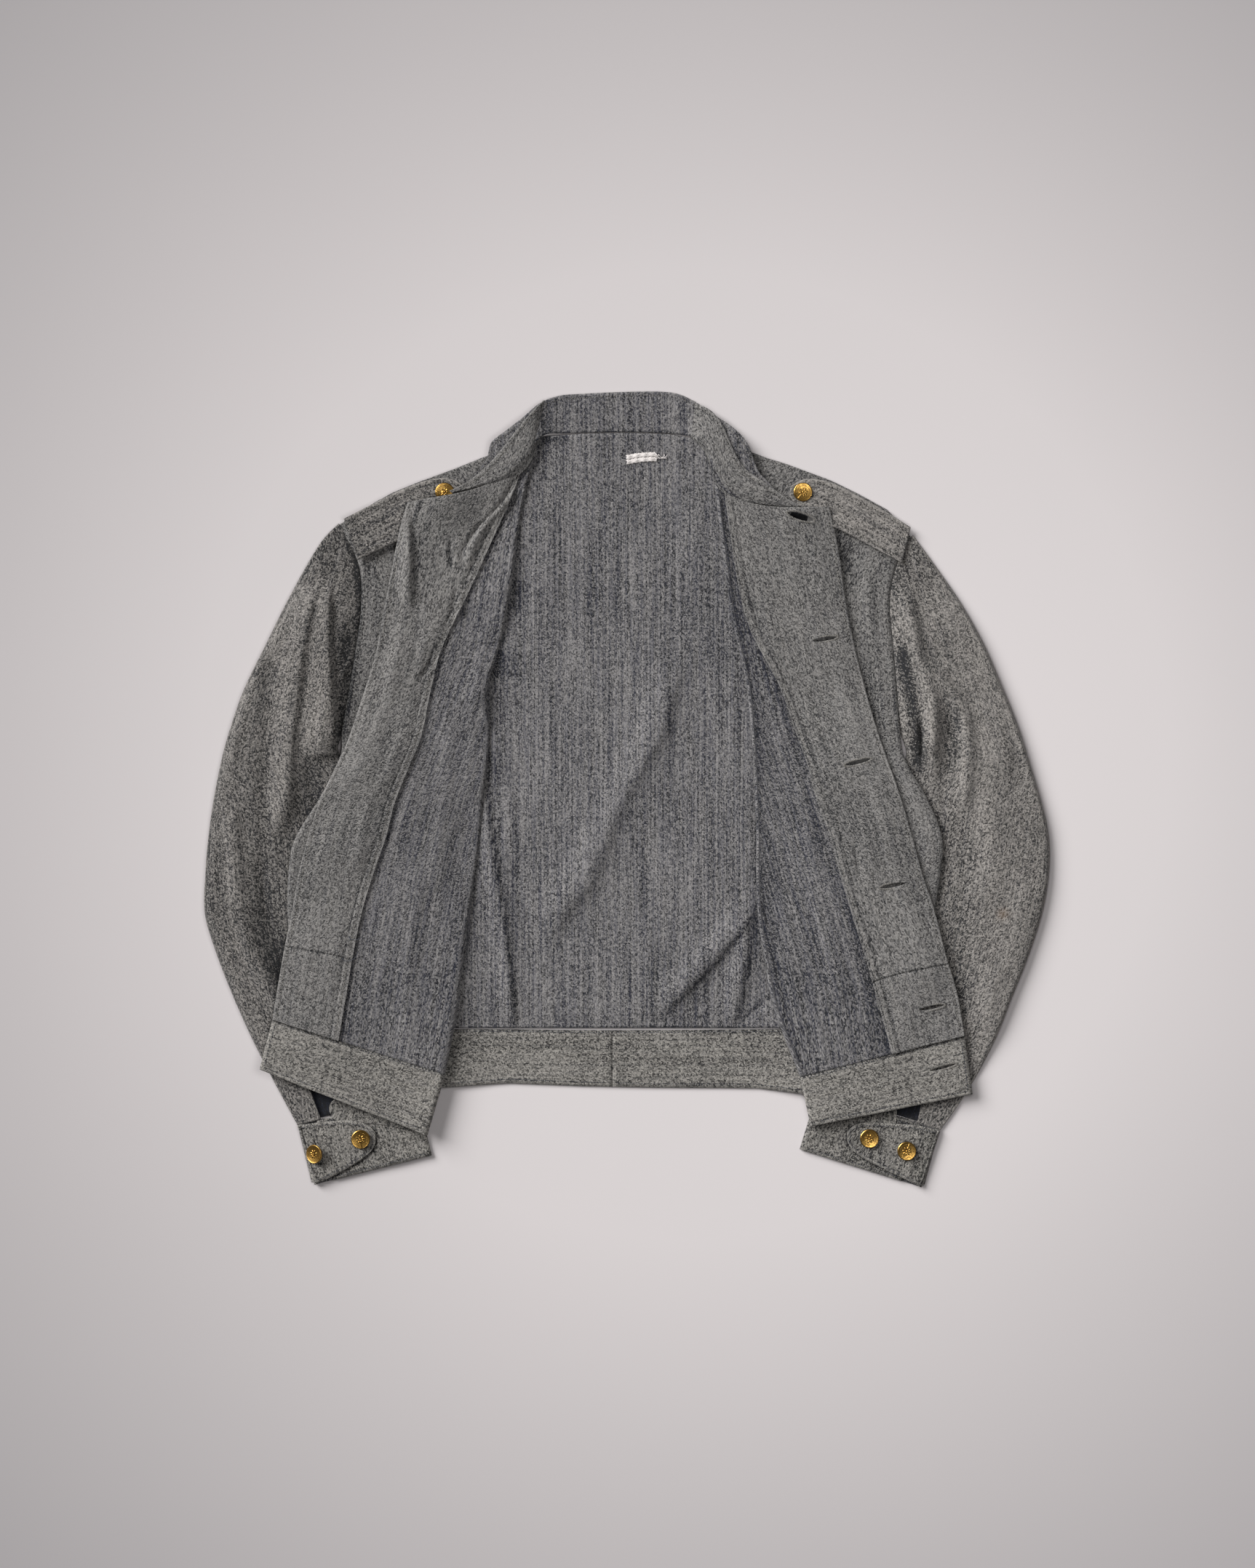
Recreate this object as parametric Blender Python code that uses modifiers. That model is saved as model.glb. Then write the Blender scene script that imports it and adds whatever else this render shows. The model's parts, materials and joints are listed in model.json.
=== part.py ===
# Short military jacket in grey cotton, laid open on its back with both fronts turned out over the sleeves.
# The part's frame is in metres with +Z up: +X runs across the jacket to the wearer's left, +Y to the collar.
# The tables are in millimetres. Right and left are the wearer's own.

import math

import bmesh
import bpy
import numpy as np

# Driving dimensions in millimetres
CLOTH = 1.2
DOUBLE_CLOTH = 1.6
SEAM_GAP = 0.5
LAID_GAP = 0.35
LAYER = 2.2
SLEEVE_HOLLOW = 3.0
SLEEVE_LIFT = 6.4
LIFT_START_X = 110.0
LIFT_FULL_X = 190.0
LIFT_START_Y = 90.0
LIFT_FULL_Y = 0.0
FOLD_PUFF = 3.4
FOLD_REACH = 22.0
BUTTON_RISE = 4.4
STRAP_RISE = 1.4
FLAP_DROP = 2.4
SHOULDER_BUTTON_BUMP = 6.0
SHOULDER_BUTTON_BUMP_RADIUS = 40.0
ROW_STEPS = 2
FACING_JOIN_ROW = 11
MILLIMETRE = 0.001

# A row for each level of the right front: side seam, fold line and front edge, then the share of the turned
# part that lies between the fold and the facing
RIGHT_FRONT_ROWS = [
    # side_x, side_y, fold_x, fold_y, edge_x, edge_y, facing_share
    (-248.7, 228.8, -78.6, 298.1, -188.8, 247.7, 0.08),
    (-232.3, 195.4, -91.8, 242.7, -197.6, 214.3, 0.14),
    (-229.8, 160.8, -100.0, 179.7, -208.3, 160.8, 0.32),
    (-234.2, 123.0, -109.4, 129.3, -216.5, 116.7, 0.46),
    (-240.5, 85.2, -120.8, 88.3, -229.1, 75.7, 0.45),
    (-246.1, 50.5, -119.5, 53.7, -241.7, 37.9, 0.47),
    (-247.4, 28.5, -121.4, 22.2, -253.7, 12.7, 0.505),
    (-264.4, -6.2, -125.2, -9.3, -265.0, -12.5, 0.53),
    (-285.8, -41.5, -128.3, -40.8, -273.9, -40.8, 0.54),
    (-291.5, -67.3, -132.1, -72.3, -281.4, -69.2, 0.57),
    (-292.8, -103.8, -136.5, -103.8, -287.7, -103.8, 0.60),
    (-287.7, -141.6, -141.6, -142.9, -294.0, -135.3, 0.61),
    (-265.7, -176.3, -147.2, -192.0, -299.7, -166.8, 0.615),
    (-222.8, -206.5, -157.3, -245.6, -304.7, -198.3, 0.615),
]
LEFT_FRONT_ROWS = [
    # side_x, side_y, fold_x, fold_y, edge_x, edge_y, facing_share
    (245.9, 217.5, 76.4, 262.8, 174.7, 243.9, 0.08),
    (233.3, 195.4, 80.8, 223.8, 182.9, 204.9, 0.08),
    (227.0, 163.9, 86.5, 179.7, 189.2, 160.8, 0.09),
    (230.1, 123.0, 93.4, 138.7, 196.7, 123.0, 0.13),
    (233.3, 85.2, 103.5, 91.5, 206.2, 85.2, 0.27),
    (235.8, 51.8, 107.3, 53.7, 215.0, 53.7, 0.34),
    (240.2, 25.3, 109.8, 22.2, 225.7, 22.2, 0.39),
    (258.5, -7.4, 111.1, -9.3, 236.4, -9.3, 0.42),
    (271.7, -40.8, 112.3, -40.8, 245.9, -40.8, 0.47),
    (270.5, -72.3, 112.3, -72.3, 254.1, -72.3, 0.50),
    (265.4, -103.8, 113.6, -107.0, 264.8, -103.8, 0.525),
    (257.2, -141.6, 118.6, -141.6, 274.9, -142.9, 0.55),
    (244.6, -176.3, 127.4, -188.9, 284.9, -176.3, 0.56),
    (227.0, -206.5, 150.1, -248.1, 291.2, -212.8, 0.555),
]

# How far the shoulder bows above the straight line from side seam to fold, by the share of the way
SHOULDER_BOW = [
    # share, right, left
    (0.0, 0.0, 0.0),
    (0.12, 5.0, 18.5),
    (0.27, 9.0, 25.7),
    (0.41, 9.0, 31.0),
    (0.64, 7.3, 35.0),
    (0.80, 7.5, 36.0),
    (1.0, 0.0, 0.0),
]
SHOULDER_BOW_ROWS = 2.5
NECKLINE_BOW = {"right": -16.0, "left": -10.0}

# The back's top edge: shoulders and neck
BACK_TOP = [
    # x, y
    (-248.7, 228.8),
    (-215.3, 250.2),
    (-165.0, 271.0),
    (-119.5, 289.3),
    (-73.5, 305.0),
    (-38.9, 307.5),
    (2.1, 308.3),
    (36.7, 307.0),
    (63.2, 302.5),
    (109.8, 291.0),
    (162.7, 271.0),
    (200.5, 255.3),
    (225.7, 241.4),
    (245.9, 217.5),
]

# The waistband on each front, in the front's own order, at its seam and at its lower edge
RIGHT_BAND_ROWS = [
    # side_x, side_y, fold_x, fold_y, edge_x, edge_y
    (-222.8, -207.1, -157.3, -246.2, -304.9, -198.9),
    (-222.8, -259.4, -172.4, -297.9, -316.1, -241.2),
]
LEFT_BAND_ROWS = [
    # side_x, side_y, fold_x, fold_y, edge_x, edge_y
    (227.0, -207.1, 150.1, -248.7, 291.3, -213.4),
    (227.0, -261.3, 158.9, -290.3, 298.2, -263.2),
]
BACK_BAND_ROWS = [
    # x, seam_y, lower_y
    (-222.8, -207.1, -259.4),
    (-163.6, -208.0, -258.2),
    (-101.9, -208.5, -254.4),
    (-38.9, -209.2, -256.9),
    (24.1, -209.2, -258.2),
    (112.3, -208.5, -258.8),
    (150.1, -208.0, -263.2),
    (227.0, -207.1, -261.3),
]
CENTRE_BACK_X = -12.4

# The sleeves, from the shoulder point down to the cuff seam
RIGHT_SLEEVE_ROWS = [
    # outer_x, outer_y, inner_x, inner_y
    (-252.5, 232.0, -249.6, 228.6),
    (-265.7, 211.2, -233.2, 195.4),
    (-290.9, 167.1, -230.7, 160.8),
    (-312.9, 123.0, -235.1, 123.0),
    (-331.2, 85.2, -241.4, 85.2),
    (-343.2, 50.5, -247.0, 50.5),
    (-350.1, 25.3, -248.4, 28.0),
    (-357.0, -9.3, -220.3, -3.0),
    (-361.4, -40.8, -203.9, -40.8),
    (-364.0, -72.3, -195.1, -78.6),
    (-364.6, -107.0, -188.8, -116.4),
    (-355.8, -138.5, -183.8, -154.2),
    (-341.3, -176.3, -180.6, -188.9),
    (-322.4, -218.5, -179.4, -217.2),
    (-300.3, -261.3, -179.4, -245.6),
    (-284.6, -290.3, -182.5, -265.1),
]
LEFT_SLEEVE_ROWS = [
    # outer_x, outer_y, inner_x, inner_y
    (250.2, 221.0, 246.9, 217.3),
    (263.5, 196.7, 234.2, 195.4),
    (287.5, 162.0, 227.9, 163.9),
    (307.6, 126.1, 231.0, 123.0),
    (325.3, 85.2, 234.2, 85.2),
    (337.9, 53.7, 236.7, 51.8),
    (347.9, 22.2, 241.2, 25.0),
    (357.4, -9.3, 216.3, -9.3),
    (364.3, -40.8, 200.5, -40.8),
    (364.6, -72.3, 191.1, -78.6),
    (358.7, -107.0, 184.0, -116.4),
    (346.7, -144.8, 178.0, -154.2),
    (332.8, -179.4, 173.0, -188.9),
    (317.7, -217.2, 168.8, -217.2),
    (295.0, -259.4, 165.9, -242.4),
    (270.5, -294.7, 165.2, -262.6),
]
SLEEVE_SHARES = [0.0, 0.03, 0.1, 0.22, 0.36, 0.5, 0.64, 0.78, 0.9, 0.97, 1.0]

# The collar from its right end round the neck to its left end, with the height of its middle plane
COLLAR_ROWS = [
    # seam_x, seam_y, top_x, top_y, height
    (-143.5, 256.9, -139.0, 263.0, 11.0),
    (-123.0, 263.8, -122.0, 283.0, 10.5),
    (-103.0, 276.5, -117.0, 299.0, 9.5),
    (-86.0, 289.5, -105.0, 309.0, 9.0),
    (-76.5, 302.0, -91.0, 320.0, 8.0),
    (-68.0, 307.5, -75.0, 334.0, 3.6),
    (-55.0, 308.0, -58.5, 340.5, 0.8),
    (-38.9, 308.6, -38.9, 342.2, 0.8),
    (2.1, 309.3, 3.3, 344.0, 0.8),
    (36.7, 308.0, 37.4, 343.5, 0.8),
    (52.0, 306.0, 56.9, 336.5, 1.6),
    (66.5, 303.5, 73.9, 324.0, 6.0),
    (71.0, 286.0, 91.0, 312.5, 9.0),
    (75.8, 267.5, 104.0, 298.0, 10.0),
    (87.5, 255.2, 113.0, 275.5, 9.4),
    (106.0, 248.4, 122.5, 264.5, 8.4),
    (121.8, 245.9, 131.0, 255.0, 8.0),
    (135.0, 245.0, 139.0, 249.5, 7.6),
]

# The cuffs: corners of the band and the tab's outline, which runs from the seam end round the tip
CUFF_CORNERS = {
    # outer seam, outer hem, inner hem, inner seam
    "right": [(-284.5, -290.9), (-269.5, -342.0), (-169.3, -316.8), (-182.3, -265.7)],
    "left": [(270.4, -295.3), (254.1, -344.1), (150.1, -311.7), (165.0, -263.2)],
}
CUFF_TAB_POINTS = {
    "right": [
        (-267.5, -289.6), (-246.8, -287.2), (-227.9, -288.4), (-219.7, -293.5), (-215.9, -301.0),
        (-217.8, -309.2), (-224.7, -316.8), (-240.5, -326.2), (-253.1, -333.8), (-265.0, -339.0),
    ],
    "left": [
        (253.5, -292.4), (232.0, -289.8), (203.7, -288.4), (194.2, -292.2), (189.2, -299.1),
        (191.7, -307.9), (199.3, -314.9), (216.3, -325.0), (235.2, -335.0), (250.0, -341.0),
    ],
}
CUFF_CLOTH = 1.4
CUFF_UNDER_Z = 0.7
CUFF_UPPER_Z = 3.0
CUFF_TAB_Z = 4.8
CUFF_OPEN_SHARE = 0.16

# The shoulder straps: shoulder edge and lower edge from the armhole to the tip
STRAP_ROWS = {
    "right": [
        # upper_x, upper_y, lower_x, lower_y
        (-243.5, 233.2, -231.8, 198.8),
        (-217.0, 247.0, -199.5, 213.7),
        (-190.1, 260.6, -172.0, 227.8),
        (-165.0, 268.4, -154.0, 238.0),
        (-149.0, 267.0, -145.0, 246.0),
        (-140.0, 260.5, -139.0, 252.5),
    ],
    "left": [
        (240.5, 220.5, 232.8, 198.0),
        (222.5, 240.0, 214.0, 208.0),
        (200.5, 252.8, 192.0, 220.0),
        (176.6, 264.6, 166.0, 232.6),
        (155.0, 268.0, 148.0, 244.0),
        (141.5, 262.0, 140.5, 253.0),
    ],
}

# Buttons: place, height of the seat under the shank, and the lean of the outer cuff button
BUTTON_ROWS = [
    # name, x, y, seat_z, lean_degrees
    ("shoulder_button_right", -157.3, 256.5, 5.3, 0.0),
    ("shoulder_button_left", 152.0, 256.5, 5.3, 0.0),
    ("cuff_button_right_inner", -229.8, -302.3, 5.8, 0.0),
    ("cuff_button_right_outer", -268.4, -314.9, 8.0, 30.0),
    ("cuff_button_left_inner", 209.3, -301.6, 5.8, 0.0),
    ("cuff_button_left_outer", 241.5, -312.4, 5.8, 0.0),
]
# Half outline of a button from the middle of its face round to the shank: radius, height over the seat
BUTTON_PROFILE = [
    (0.0, 4.3),
    (4.4, 4.1),
    (6.6, 3.5),
    (7.0, 3.8),
    (7.8, 3.5),
    (8.2, 2.7),
    (7.6, 1.6),
    (2.0, 1.2),
    (1.8, 0.0),
    (0.0, 0.0),
]
BUTTON_SIDES = 14

# Hidden buttons on the outside of the right front: level along the front edge, share of the turned part
FRONT_BUTTON_LEVELS = [1.2, 3.3, 5.9, 8.6, 11.9]
FRONT_BUTTON_SHARE = 0.86
FRONT_BUTTON_SHRINK = 0.8

# Folds pressed into the laid cloth: ends, half width and height of each soft ridge
BODY_FOLDS = [
    # x0, y0, x1, y1, half_width, height
    (38.0, 95.0, 10.0, 10.0, 17.0, 2.2),
    (10.0, 10.0, -62.0, -116.0, 17.0, 2.8),
    (96.0, -112.0, 34.0, -186.0, 11.0, 2.6),
    (-114.0, -48.0, -98.0, -190.0, 9.0, 2.2),
    (108.0, -128.0, 94.0, -190.0, 9.0, 2.2),
]
SLEEVE_FOLDS = {
    "right": [
        (-265.7, 190.0, -281.0, 60.0, 12.0, 3.6),
        (-281.0, 60.0, -291.0, 5.0, 11.0, 1.6),
        (-333.0, -66.0, -318.0, -180.0, 14.0, 2.2),
    ],
    "left": [
        (262.0, 180.0, 268.0, 80.0, 13.0, 3.6),
        (268.0, 80.0, 292.0, 10.0, 13.0, 3.0),
        (330.0, -70.0, 312.0, -190.0, 14.0, 2.0),
    ],
}

# The vent above each cuff: corners of the wedge that stays open
VENT_CORNERS = {
    "right": [(-272.5, -262.0), (-264.9, -284.4), (-255.0, -281.9), (-261.0, -267.0)],
    "left": [(256.5, -262.5), (251.5, -287.3), (238.0, -283.2), (240.0, -266.0)],
}
LABEL_CENTRE = (13.7, 286.7)
LABEL_SIZE = (28.0, 8.0)
LABEL_TURN = math.radians(5.5)
LABEL_THICK = 0.8

# Colours as linear red, green and blue
OUTSIDE_GREY = (0.135, 0.133, 0.120)
INSIDE_GREY = (0.098, 0.102, 0.112)
BAND_GREY = (0.150, 0.148, 0.135)
TAPE_WHITE = (0.62, 0.60, 0.58)
GILT = (0.52, 0.33, 0.10)


def smooth(value):
    """Ease from 0 to 1 between 0 and 1."""
    bounded = min(max(value, 0.0), 1.0)
    return bounded * bounded * (3.0 - 2.0 * bounded)


def row_at(rows, level):
    """Read a table at a level between two of its rows, on a smooth curve through them."""
    data = np.array(rows, dtype=float)
    last = len(data) - 1
    start = min(int(math.floor(level)), last - 1)
    part = level - start
    before = data[max(start - 1, 0)]
    here = data[start]
    after = data[start + 1]
    beyond = data[min(start + 2, last)]
    return 0.5 * (
        2.0 * here
        + (after - before) * part
        + (2.0 * before - 5.0 * here + 4.0 * after - beyond) * part ** 2
        + (3.0 * here - before - 3.0 * after + beyond) * part ** 3
    )


def read_curve(points, place, column=1):
    """Straight reading of a table whose first column rises."""
    return float(np.interp(place, [row[0] for row in points], [row[column] for row in points]))


def fold_height(folds, x, y):
    """Height that the soft ridges add at a point."""
    total = 0.0
    for x0, y0, x1, y1, half_width, height in folds:
        run_x = x1 - x0
        run_y = y1 - y0
        length = math.hypot(run_x, run_y)
        along = ((x - x0) * run_x + (y - y0) * run_y) / length
        away = abs((x - x0) * run_y - (y - y0) * run_x) / length
        ends = smooth((along + 25.0) / 50.0) * smooth((length + 25.0 - along) / 50.0)
        total = max(total, height * ends * math.exp(-(away / half_width) ** 2))
    return total


def ground(x, y):
    """Height of the lowest cloth of the body: flat on the table, over the sleeves, and over its own folds."""
    across = smooth((abs(x) - LIFT_START_X) / (LIFT_FULL_X - LIFT_START_X))
    along = smooth((LIFT_START_Y - y) / (LIFT_START_Y - LIFT_FULL_Y))
    return SLEEVE_LIFT * across * along + fold_height(BODY_FOLDS, x, y)


def new_material(name, colour, roughness, metallic):
    material = bpy.data.materials.new(name)
    material.use_nodes = True
    shader = material.node_tree.nodes["Principled BSDF"]
    shader.inputs["Base Color"].default_value = (*colour, 1.0)
    shader.inputs["Roughness"].default_value = roughness
    shader.inputs["Metallic"].default_value = metallic
    return material


def finish_object(name, mesh, colour, collection, roughness=0.9, metallic=0.0):
    piece = bpy.data.objects.new(name, mesh)
    collection.objects.link(piece)
    mesh.materials.append(new_material(name + "_finish", colour, roughness, metallic))
    return piece


def cloth_sheet(name, points, thick, colour, collection):
    """A sheet of cloth: a grid laid through rows of points in its middle plane, thickened evenly."""
    row_count = len(points) - 1
    column_count = len(points[0]) - 1
    grid = bmesh.new()
    bmesh.ops.create_grid(grid, x_segments=column_count, y_segments=row_count, size=0.5)
    for vert in grid.verts:
        column = round((vert.co.x + 0.5) * column_count)
        row = round((vert.co.y + 0.5) * row_count)
        vert.co = [value * MILLIMETRE for value in points[row][column]]
    mesh = bpy.data.meshes.new(name)
    grid.to_mesh(mesh)
    grid.free()
    mesh.shade_smooth()
    piece = finish_object(name, mesh, colour, collection)
    wall = piece.modifiers.new("wall", "SOLIDIFY")
    wall.thickness = thick * MILLIMETRE
    wall.offset = 0.0
    return piece


def under_point(row, share, level, side, thick):
    """A point of the front's under part, which lies on the back: share 0 at the side seam, 1 at the fold."""
    x = row[0] + (row[2] - row[0]) * share
    y = row[1] + (row[3] - row[1]) * share
    column = 1 if side == "right" else 2
    fade = smooth(1.0 - level / SHOULDER_BOW_ROWS)
    y += read_curve(SHOULDER_BOW, share, column) * fade
    return x, y, LAYER + thick / 2 + ground(x, y)


def turned_point(row, share, level, side, thick):
    """A point of the part that is turned out: share 0 at the fold, 1 at the front edge."""
    x = row[2] + (row[4] - row[2]) * share
    y = row[3] + (row[5] - row[3]) * share
    fade = smooth(1.0 - level / 1.5)
    y += NECKLINE_BOW[side] * fade * math.sin(math.pi * share ** 0.7)
    width = math.hypot(row[4] - row[2], row[5] - row[3])
    z = 2 * LAYER + thick / 2 + ground(x, y)
    z += FOLD_PUFF * math.exp(-share * width / FOLD_REACH)
    if side == "right":
        z += BUTTON_RISE * smooth(share / 0.7)
        away = math.hypot(x - BUTTON_ROWS[0][1], y - BUTTON_ROWS[0][2] + 5.0)
        z += SHOULDER_BUTTON_BUMP * smooth(1.0 - away / SHOULDER_BUTTON_BUMP_RADIUS)
    else:
        z += STRAP_RISE * smooth((y - 150.0) / 40.0)
        beyond_side = abs(x) - abs(row[0])
        z -= FLAP_DROP * smooth(beyond_side / 30.0)
    return x, y, z


def front_section(row, level, side, thick, facing_share, counts):
    """One section of a front from its side seam through the fold to the front edge."""
    under_count, arc_count, inner_count, facing_count = counts
    turn = math.copysign(1.0, row[2])
    low = under_point(row, 1.0, level, side, thick)
    high = turned_point(row, 0.0, level, side, thick)
    radius = (high[2] - low[2]) / 2
    inset = radius / abs(row[2] - row[0])
    points = []
    for step in range(under_count + 1):
        points.append(under_point(row, (1.0 - inset) * step / under_count, level, side, thick))
    for step in range(1, arc_count):
        angle = math.pi * step / arc_count
        x = row[2] + turn * radius * (1.0 - math.sin(angle))
        points.append((x, low[1], low[2] + radius * (1.0 - math.cos(angle))))
    turned_start = radius / math.hypot(row[4] - row[2], row[5] - row[3])
    for step in range(inner_count):
        share = turned_start + (facing_share - turned_start) * step / inner_count
        points.append(turned_point(row, share, level, side, thick))
    for step in range(facing_count + 1):
        share = facing_share + (1.0 - facing_share) * step / facing_count
        points.append(turned_point(row, share, level, side, thick))
    return points


FRONT_COUNTS = (7, 4, 4, 5)
BAND_COUNTS = (6, 4, 4, 5)


def front_levels(rows):
    return [step / ROW_STEPS for step in range((len(rows) - 1) * ROW_STEPS + 1)]


def build_front(side, rows, collection):
    """The front in one sheet, and its facing laid on the turned part with the same points."""
    sections = []
    facing = []
    lift = CLOTH + LAID_GAP
    for level in front_levels(rows):
        row = row_at(rows, level)
        sections.append(front_section(row, level, side, CLOTH, row[6], FRONT_COUNTS))
        on_top = sections[-1][-(FRONT_COUNTS[3] + 1):]
        facing.append([(x, y, z + lift) for x, y, z in on_top])
    cloth_sheet(side + "_front", sections, CLOTH, OUTSIDE_GREY, collection)
    join = FACING_JOIN_ROW * ROW_STEPS
    cloth_sheet(side + "_facing", facing[:join + 1], CLOTH, OUTSIDE_GREY, collection)
    lower = [list(section) for section in facing[join:]]
    lower[0] = [
        tuple(a + (b - a) * 0.04 for a, b in zip(top, below))
        for top, below in zip(facing[join], facing[join + 1])
    ]
    cloth_sheet(side + "_facing_lower", lower, CLOTH, OUTSIDE_GREY, collection)


def build_front_band(side, rows, last_row, collection):
    sections = []
    for step in range(3):
        row = np.array(rows[0]) + (np.array(rows[1]) - np.array(rows[0])) * step / 2
        sections.append(front_section(row, 99.0, side, DOUBLE_CLOTH, last_row[6], BAND_COUNTS))
    cloth_sheet(side + "_waistband", sections, DOUBLE_CLOTH, BAND_GREY, collection)


def build_back(collection):
    column_count = 26
    sections = []
    for level in front_levels(RIGHT_FRONT_ROWS):
        right = row_at(RIGHT_FRONT_ROWS, level)
        left = row_at(LEFT_FRONT_ROWS, level)
        down = level / (len(RIGHT_FRONT_ROWS) - 1)
        section = []
        for step in range(column_count + 1):
            share = step / column_count
            x = right[0] + (left[0] - right[0]) * share
            y = right[1] + (left[1] - right[1]) * share
            top_x = RIGHT_FRONT_ROWS[0][0] + (LEFT_FRONT_ROWS[0][0] - RIGHT_FRONT_ROWS[0][0]) * share
            straight = RIGHT_FRONT_ROWS[0][1] + (LEFT_FRONT_ROWS[0][1] - RIGHT_FRONT_ROWS[0][1]) * share
            y += (read_curve(BACK_TOP, top_x) - straight) * (1.0 - down)
            section.append((x, y, CLOTH / 2 + ground(x, y)))
        sections.append(section)
    cloth_sheet("back", sections, CLOTH, INSIDE_GREY, collection)


def build_back_band(name, start_x, end_x, collection):
    column_count = 10
    sections = []
    for part in (0.0, 0.5, 1.0):
        section = []
        for step in range(column_count + 1):
            x = start_x + (end_x - start_x) * step / column_count
            seam_y = read_curve(BACK_BAND_ROWS, x, 1)
            lower_y = read_curve(BACK_BAND_ROWS, x, 2)
            y = seam_y + (lower_y - seam_y) * part
            section.append((x, y, DOUBLE_CLOTH / 2 + ground(x, y)))
        sections.append(section)
    cloth_sheet(name, sections, DOUBLE_CLOTH, BAND_GREY, collection)


def build_sleeve(side, rows, collection, cutters):
    """The sleeve as two flat walls, the upper one arched over the hollow."""
    under = []
    upper = []
    for level in range(len(rows)):
        outer_x, outer_y, inner_x, inner_y = rows[level]
        near_cuff = smooth((len(rows) - 1 - level) / 3.0)
        near_shoulder = smooth(level / 2.0)
        hollow = SLEEVE_HOLLOW * (0.25 + 0.75 * near_cuff) * (0.3 + 0.7 * near_shoulder)
        under_row = []
        upper_row = []
        for share in SLEEVE_SHARES:
            x = outer_x + (inner_x - outer_x) * share
            y = outer_y + (inner_y - outer_y) * share
            arch = (1.0 - abs(2.0 * share - 1.0) ** 5) ** 0.4
            crease = fold_height(SLEEVE_FOLDS[side], x, y) * smooth(share * 8.0) * smooth((1.0 - share) * 8.0)
            upper_row.append((x, y, CLOTH * 1.5 + LAID_GAP + hollow * arch + crease))
            under_row.append((x, y, CLOTH / 2))
        under.append(under_row[::2])
        upper.append(upper_row)
    cloth_sheet(side + "_under_sleeve", under, CLOTH, OUTSIDE_GREY, collection)
    top = cloth_sheet(side + "_top_sleeve", upper, CLOTH, OUTSIDE_GREY, collection)
    cutter = flat_outline(side + "_vent_cutter", VENT_CORNERS[side], 6.5, 10.0, OUTSIDE_GREY, cutters)
    cutter.hide_render = True
    cutter.display_type = "WIRE"
    cut = top.modifiers.new("vent", "BOOLEAN")
    cut.operation = "DIFFERENCE"
    cut.object = cutter


def flat_outline(name, corners, middle_z, thick, colour, collection):
    """A flat plate of cloth: a filled outline with its middle plane at a height."""
    plate = bmesh.new()
    low = (middle_z - thick / 2) * MILLIMETRE
    verts = [plate.verts.new((x * MILLIMETRE, y * MILLIMETRE, low)) for x, y in corners]
    face = plate.faces.new(verts)
    lifted = bmesh.ops.extrude_face_region(plate, geom=[face])
    top_verts = [item for item in lifted["geom"] if isinstance(item, bmesh.types.BMVert)]
    bmesh.ops.translate(plate, verts=top_verts, vec=(0.0, 0.0, thick * MILLIMETRE))
    bmesh.ops.recalc_face_normals(plate, faces=plate.faces)
    mesh = bpy.data.meshes.new(name)
    plate.to_mesh(mesh)
    plate.free()
    return finish_object(name, mesh, colour, collection)


def cuff_section(corners, down):
    """One section round a cuff: upper layer, inner fold, under layer, outer fold."""
    outer_seam, outer_hem, inner_hem, inner_seam = [np.array(corner) for corner in corners]
    outer = outer_seam + (outer_hem - outer_seam) * down
    inner = inner_seam + (inner_hem - inner_seam) * down
    width = np.linalg.norm(inner - outer)
    inner_radius = (CUFF_UPPER_Z - CUFF_UNDER_Z) / 2
    outer_radius = (CUFF_TAB_Z - CUFF_UNDER_Z) / 2
    first = outer_radius / width
    last = 1.0 - inner_radius / width
    stations = [(CUFF_OPEN_SHARE + (last - CUFF_OPEN_SHARE) * step / 4, CUFF_UPPER_Z) for step in range(5)]
    for step in range(1, 4):
        angle = math.pi * step / 4
        z = CUFF_UNDER_Z + inner_radius * (1.0 + math.cos(angle))
        stations.append((last + inner_radius / width * math.sin(angle), z))
    stations += [(last + (first - last) * step / 4, CUFF_UNDER_Z) for step in range(5)]
    for step in range(1, 5):
        angle = math.pi * step / 4
        z = CUFF_UNDER_Z + outer_radius * (1.0 - math.cos(angle))
        stations.append((first - outer_radius / width * math.sin(angle), z))
    return [(*(outer + (inner - outer) * share), z) for share, z in stations]


def build_cuff(side, collection):
    sections = [cuff_section(CUFF_CORNERS[side], down) for down in (0.0, 0.5, 1.0)]
    cloth_sheet(side + "_cuff", sections, CUFF_CLOTH, BAND_GREY, collection)
    tab = CUFF_TAB_POINTS[side]
    flat_outline(side + "_cuff_tab", tab, CUFF_TAB_Z, CUFF_CLOTH, BAND_GREY, collection)


def build_collar(collection):
    """The collar strip, folded down at both sides and lying flat across the back of the neck."""
    sections = []
    for step in range(2 * (len(COLLAR_ROWS) - 1) + 1):
        seam_x, seam_y, top_x, top_y, height = row_at(COLLAR_ROWS, step / 2)
        section = []
        for part in range(4):
            share = part / 3
            x = seam_x + (top_x - seam_x) * share
            y = seam_y + (top_y - seam_y) * share
            section.append((x, y, max(height, DOUBLE_CLOTH / 2)))
        sections.append(section)
    cloth_sheet("collar", sections, DOUBLE_CLOTH, BAND_GREY, collection)


def build_strap(side, collection):
    """The shoulder strap, on the front's own height plus its cloth."""
    sections = []
    for level in range(2 * (len(STRAP_ROWS[side]) - 1) + 1):
        upper_x, upper_y, lower_x, lower_y = row_at(STRAP_ROWS[side], level / 2)
        section = []
        for part in range(3):
            share = part / 2
            x = upper_x + (lower_x - upper_x) * share
            y = upper_y + (lower_y - upper_y) * share
            section.append((x, y, LAYER + CLOTH / 2 + ground(x, y) + CLOTH + LAID_GAP))
        sections.append(section)
    cloth_sheet(side + "_shoulder_strap", sections, CLOTH, OUTSIDE_GREY, collection)


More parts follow.
